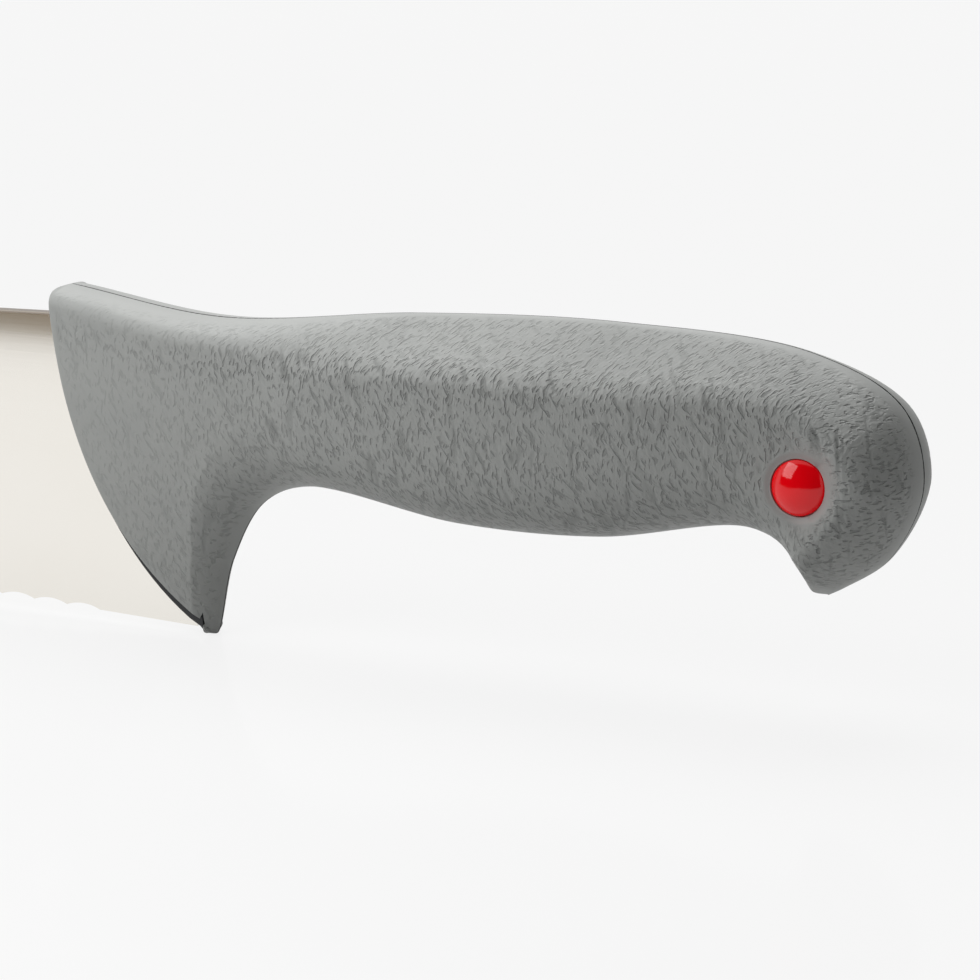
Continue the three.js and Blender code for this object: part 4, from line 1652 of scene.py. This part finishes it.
@dataclass
class Studio:
    """Floor, light and camera."""

    datum: Datum
    azimuth: float = 28.0
    elevation: float = 12.0
    distance: float = 567.0
    lens: float = 145.0
    target: tuple[float, float, float] = (47.408, 0.0, 26.589)
    floor_size: float = 12000.0
    top_from: tuple[float, float, float] = (-0.3, 0.4, 0.87)
    top_strength: float = 1.95
    top_spread: float = 50.0
    side_at: tuple[float, float, float] = (-128.0, -172.0, 215.0)
    side_towards: tuple[float, float, float] = (0.0, 0.0, 30.0)
    side_size: float = 220.0
    side_power: float = 0.55
    ambient: float = 0.07
    backdrop: str = "#f8f8f8"
    # A card in front, which only shiny surfaces mirror: it draws the dark band under the blade's spine.
    card_middle: Point = (-150.0, -208.0)
    card_size: Point = (320.0, 14.0)
    # A large board behind the card, mirrored in the same way: it keeps the upper half of the plug deep red.
    board_middle: Point = (-100.0, -330.0)
    board_size: Point = (1400.0, 700.0)
    # What the camera sees starts and ends at these distances, in metres.
    clip: Point = (0.01, 100.0)

    def card(self, name: str, middle: Point, size: Point, felt: PlainStuff) -> None:
        """Stands a dark card on the floor.

        Args:
            name: What it is called.
            middle: Where its foot is, as x and y.
            size: How wide and how high it is.
            felt: What it is covered with.
        """
        (x, y), (wide, high) = middle, size
        rows = [(x + a * wide / 2, y, b * high) for a, b in ((-1, 0), (1, 0), (1, 1), (-1, 1))]
        piece = solid_object(name, self.datum.metres(np.array(rows)), [[0, 1, 2, 3]])
        dress(piece, felt.material())
        for ray in ("camera", "diffuse", "transmission", "volume_scatter", "shadow"):
            setattr(piece, f"visible_{ray}", False)

    def floor(self) -> None:
        """Lays the floor under the knife."""
        half = self.floor_size / 2 * MM
        rows = np.array([(-half, -half, 0), (half, -half, 0), (half, half, 0), (-half, half, 0)], float)
        piece = solid_object("studio_floor", rows, [[0, 1, 2, 3]])
        dress(piece, GlossBoard().material())

    def lamp(self, name: str, kind: str, towards: Vector, **settings: float) -> Piece:
        """Hangs a lamp.

        Args:
            name: What it is called.
            kind: The kind of lamp.
            towards: The way back from what it lights.
            **settings: Values of the lamp's own properties.

        Returns:
            The lamp, at the origin.
        """
        source = bpy.data.lights.new(name, kind)
        for key, value in settings.items():
            setattr(source, key, value)
        stand = bpy.data.objects.new(name, source)
        stand.rotation_euler = towards.to_track_quat("Z", "Y").to_euler()
        bpy.context.scene.collection.objects.link(stand)
        return stand

    def light(self) -> None:
        """Hangs a broad light overhead and a soft box at the left, with a dim room round them."""
        spread = math.radians(self.top_spread)
        self.lamp("overhead_light", "SUN", Vector(self.top_from), energy=self.top_strength, angle=spread)
        place, aim = (Vector(self.datum.metres(np.array(p))) for p in (self.side_at, self.side_towards))
        size = self.side_size * MM
        box = self.lamp("soft_box", "AREA", place - aim, energy=self.side_power, size=size)
        box.location = place
        world = bpy.data.worlds.new("pale_room")
        world.use_nodes = True
        tree = world.node_tree
        tree.nodes.clear()
        ray = add_node(tree, "ShaderNodeLightPath").outputs
        seen = reckon(tree, "MAXIMUM", ray["Is Camera Ray"], ray["Is Glossy Ray"])
        seen = reckon(tree, "MAXIMUM", seen, ray["Is Transmission Ray"])
        shine = {"Color": linear(self.backdrop), "Strength": ranged(tree, seen, self.ambient, 1.0)}
        glow = add_node(tree, "ShaderNodeBackground", shine)
        add_node(tree, "ShaderNodeOutputWorld", {"Surface": glow.outputs["Background"]})
        bpy.context.scene.world = world

    def camera(self) -> None:
        """Sets the camera where the photograph was taken from."""
        turn, lift = math.radians(self.azimuth), math.radians(self.elevation)
        level = math.cos(lift)
        back = Vector((math.sin(turn) * level, -math.cos(turn) * level, math.sin(lift)))
        eye = bpy.data.cameras.new("photo_camera")
        eye.lens = self.lens
        eye.clip_start, eye.clip_end = self.clip
        stand = bpy.data.objects.new("photo_camera", eye)
        stand.location = Vector(self.datum.metres(np.array(self.target))) + back * self.distance * MM
        stand.rotation_euler = back.to_track_quat("Z", "Y").to_euler()
        bpy.context.scene.collection.objects.link(stand)
        bpy.context.scene.camera = stand

    def build(self) -> None:
        """Builds the whole studio."""
        self.floor()
        self.card("dark_card", self.card_middle, self.card_size, CARD_FELT)
        self.card("dark_board", self.board_middle, self.board_size, BOARD_FELT)
        self.light()
        self.camera()
        bpy.context.scene.view_settings.view_transform = "Standard"


def main() -> None:
    """Builds the studio, then the knife piece by piece."""
    logging.basicConfig(level=logging.INFO, format="%(message)s")
    sizes = KnifeSizes()
    datum = Datum.of_blade(sizes.front - sizes.blade_length, sizes.edge_clearance)
    Studio(datum).build()
    log.info("studio: floor, light and camera")

    blade = Blade(sizes, datum)
    steel = blade.build()
    blade.dress(steel)
    log.info("blade: %d corners", len(steel.data.vertices))

    core = TangCore().dress()
    log.info("core: %d corners", len(core.data.vertices))

    handle = Handle(sizes, datum)
    halves = handle.build()
    handle.dress(halves)
    for side, half in halves.items():
        log.info("%s half: %d corners", side.name.lower(), len(half.data.vertices))

    plugs = CodePlugs(sizes, datum, handle.plug_seat)
    made = plugs.build()
    plugs.dress(made)
    for side, plug in made.items():
        log.info("%s plug: %d corners", side.name.lower(), len(plug.data.vertices))


if __name__ == "__main__":
    main()
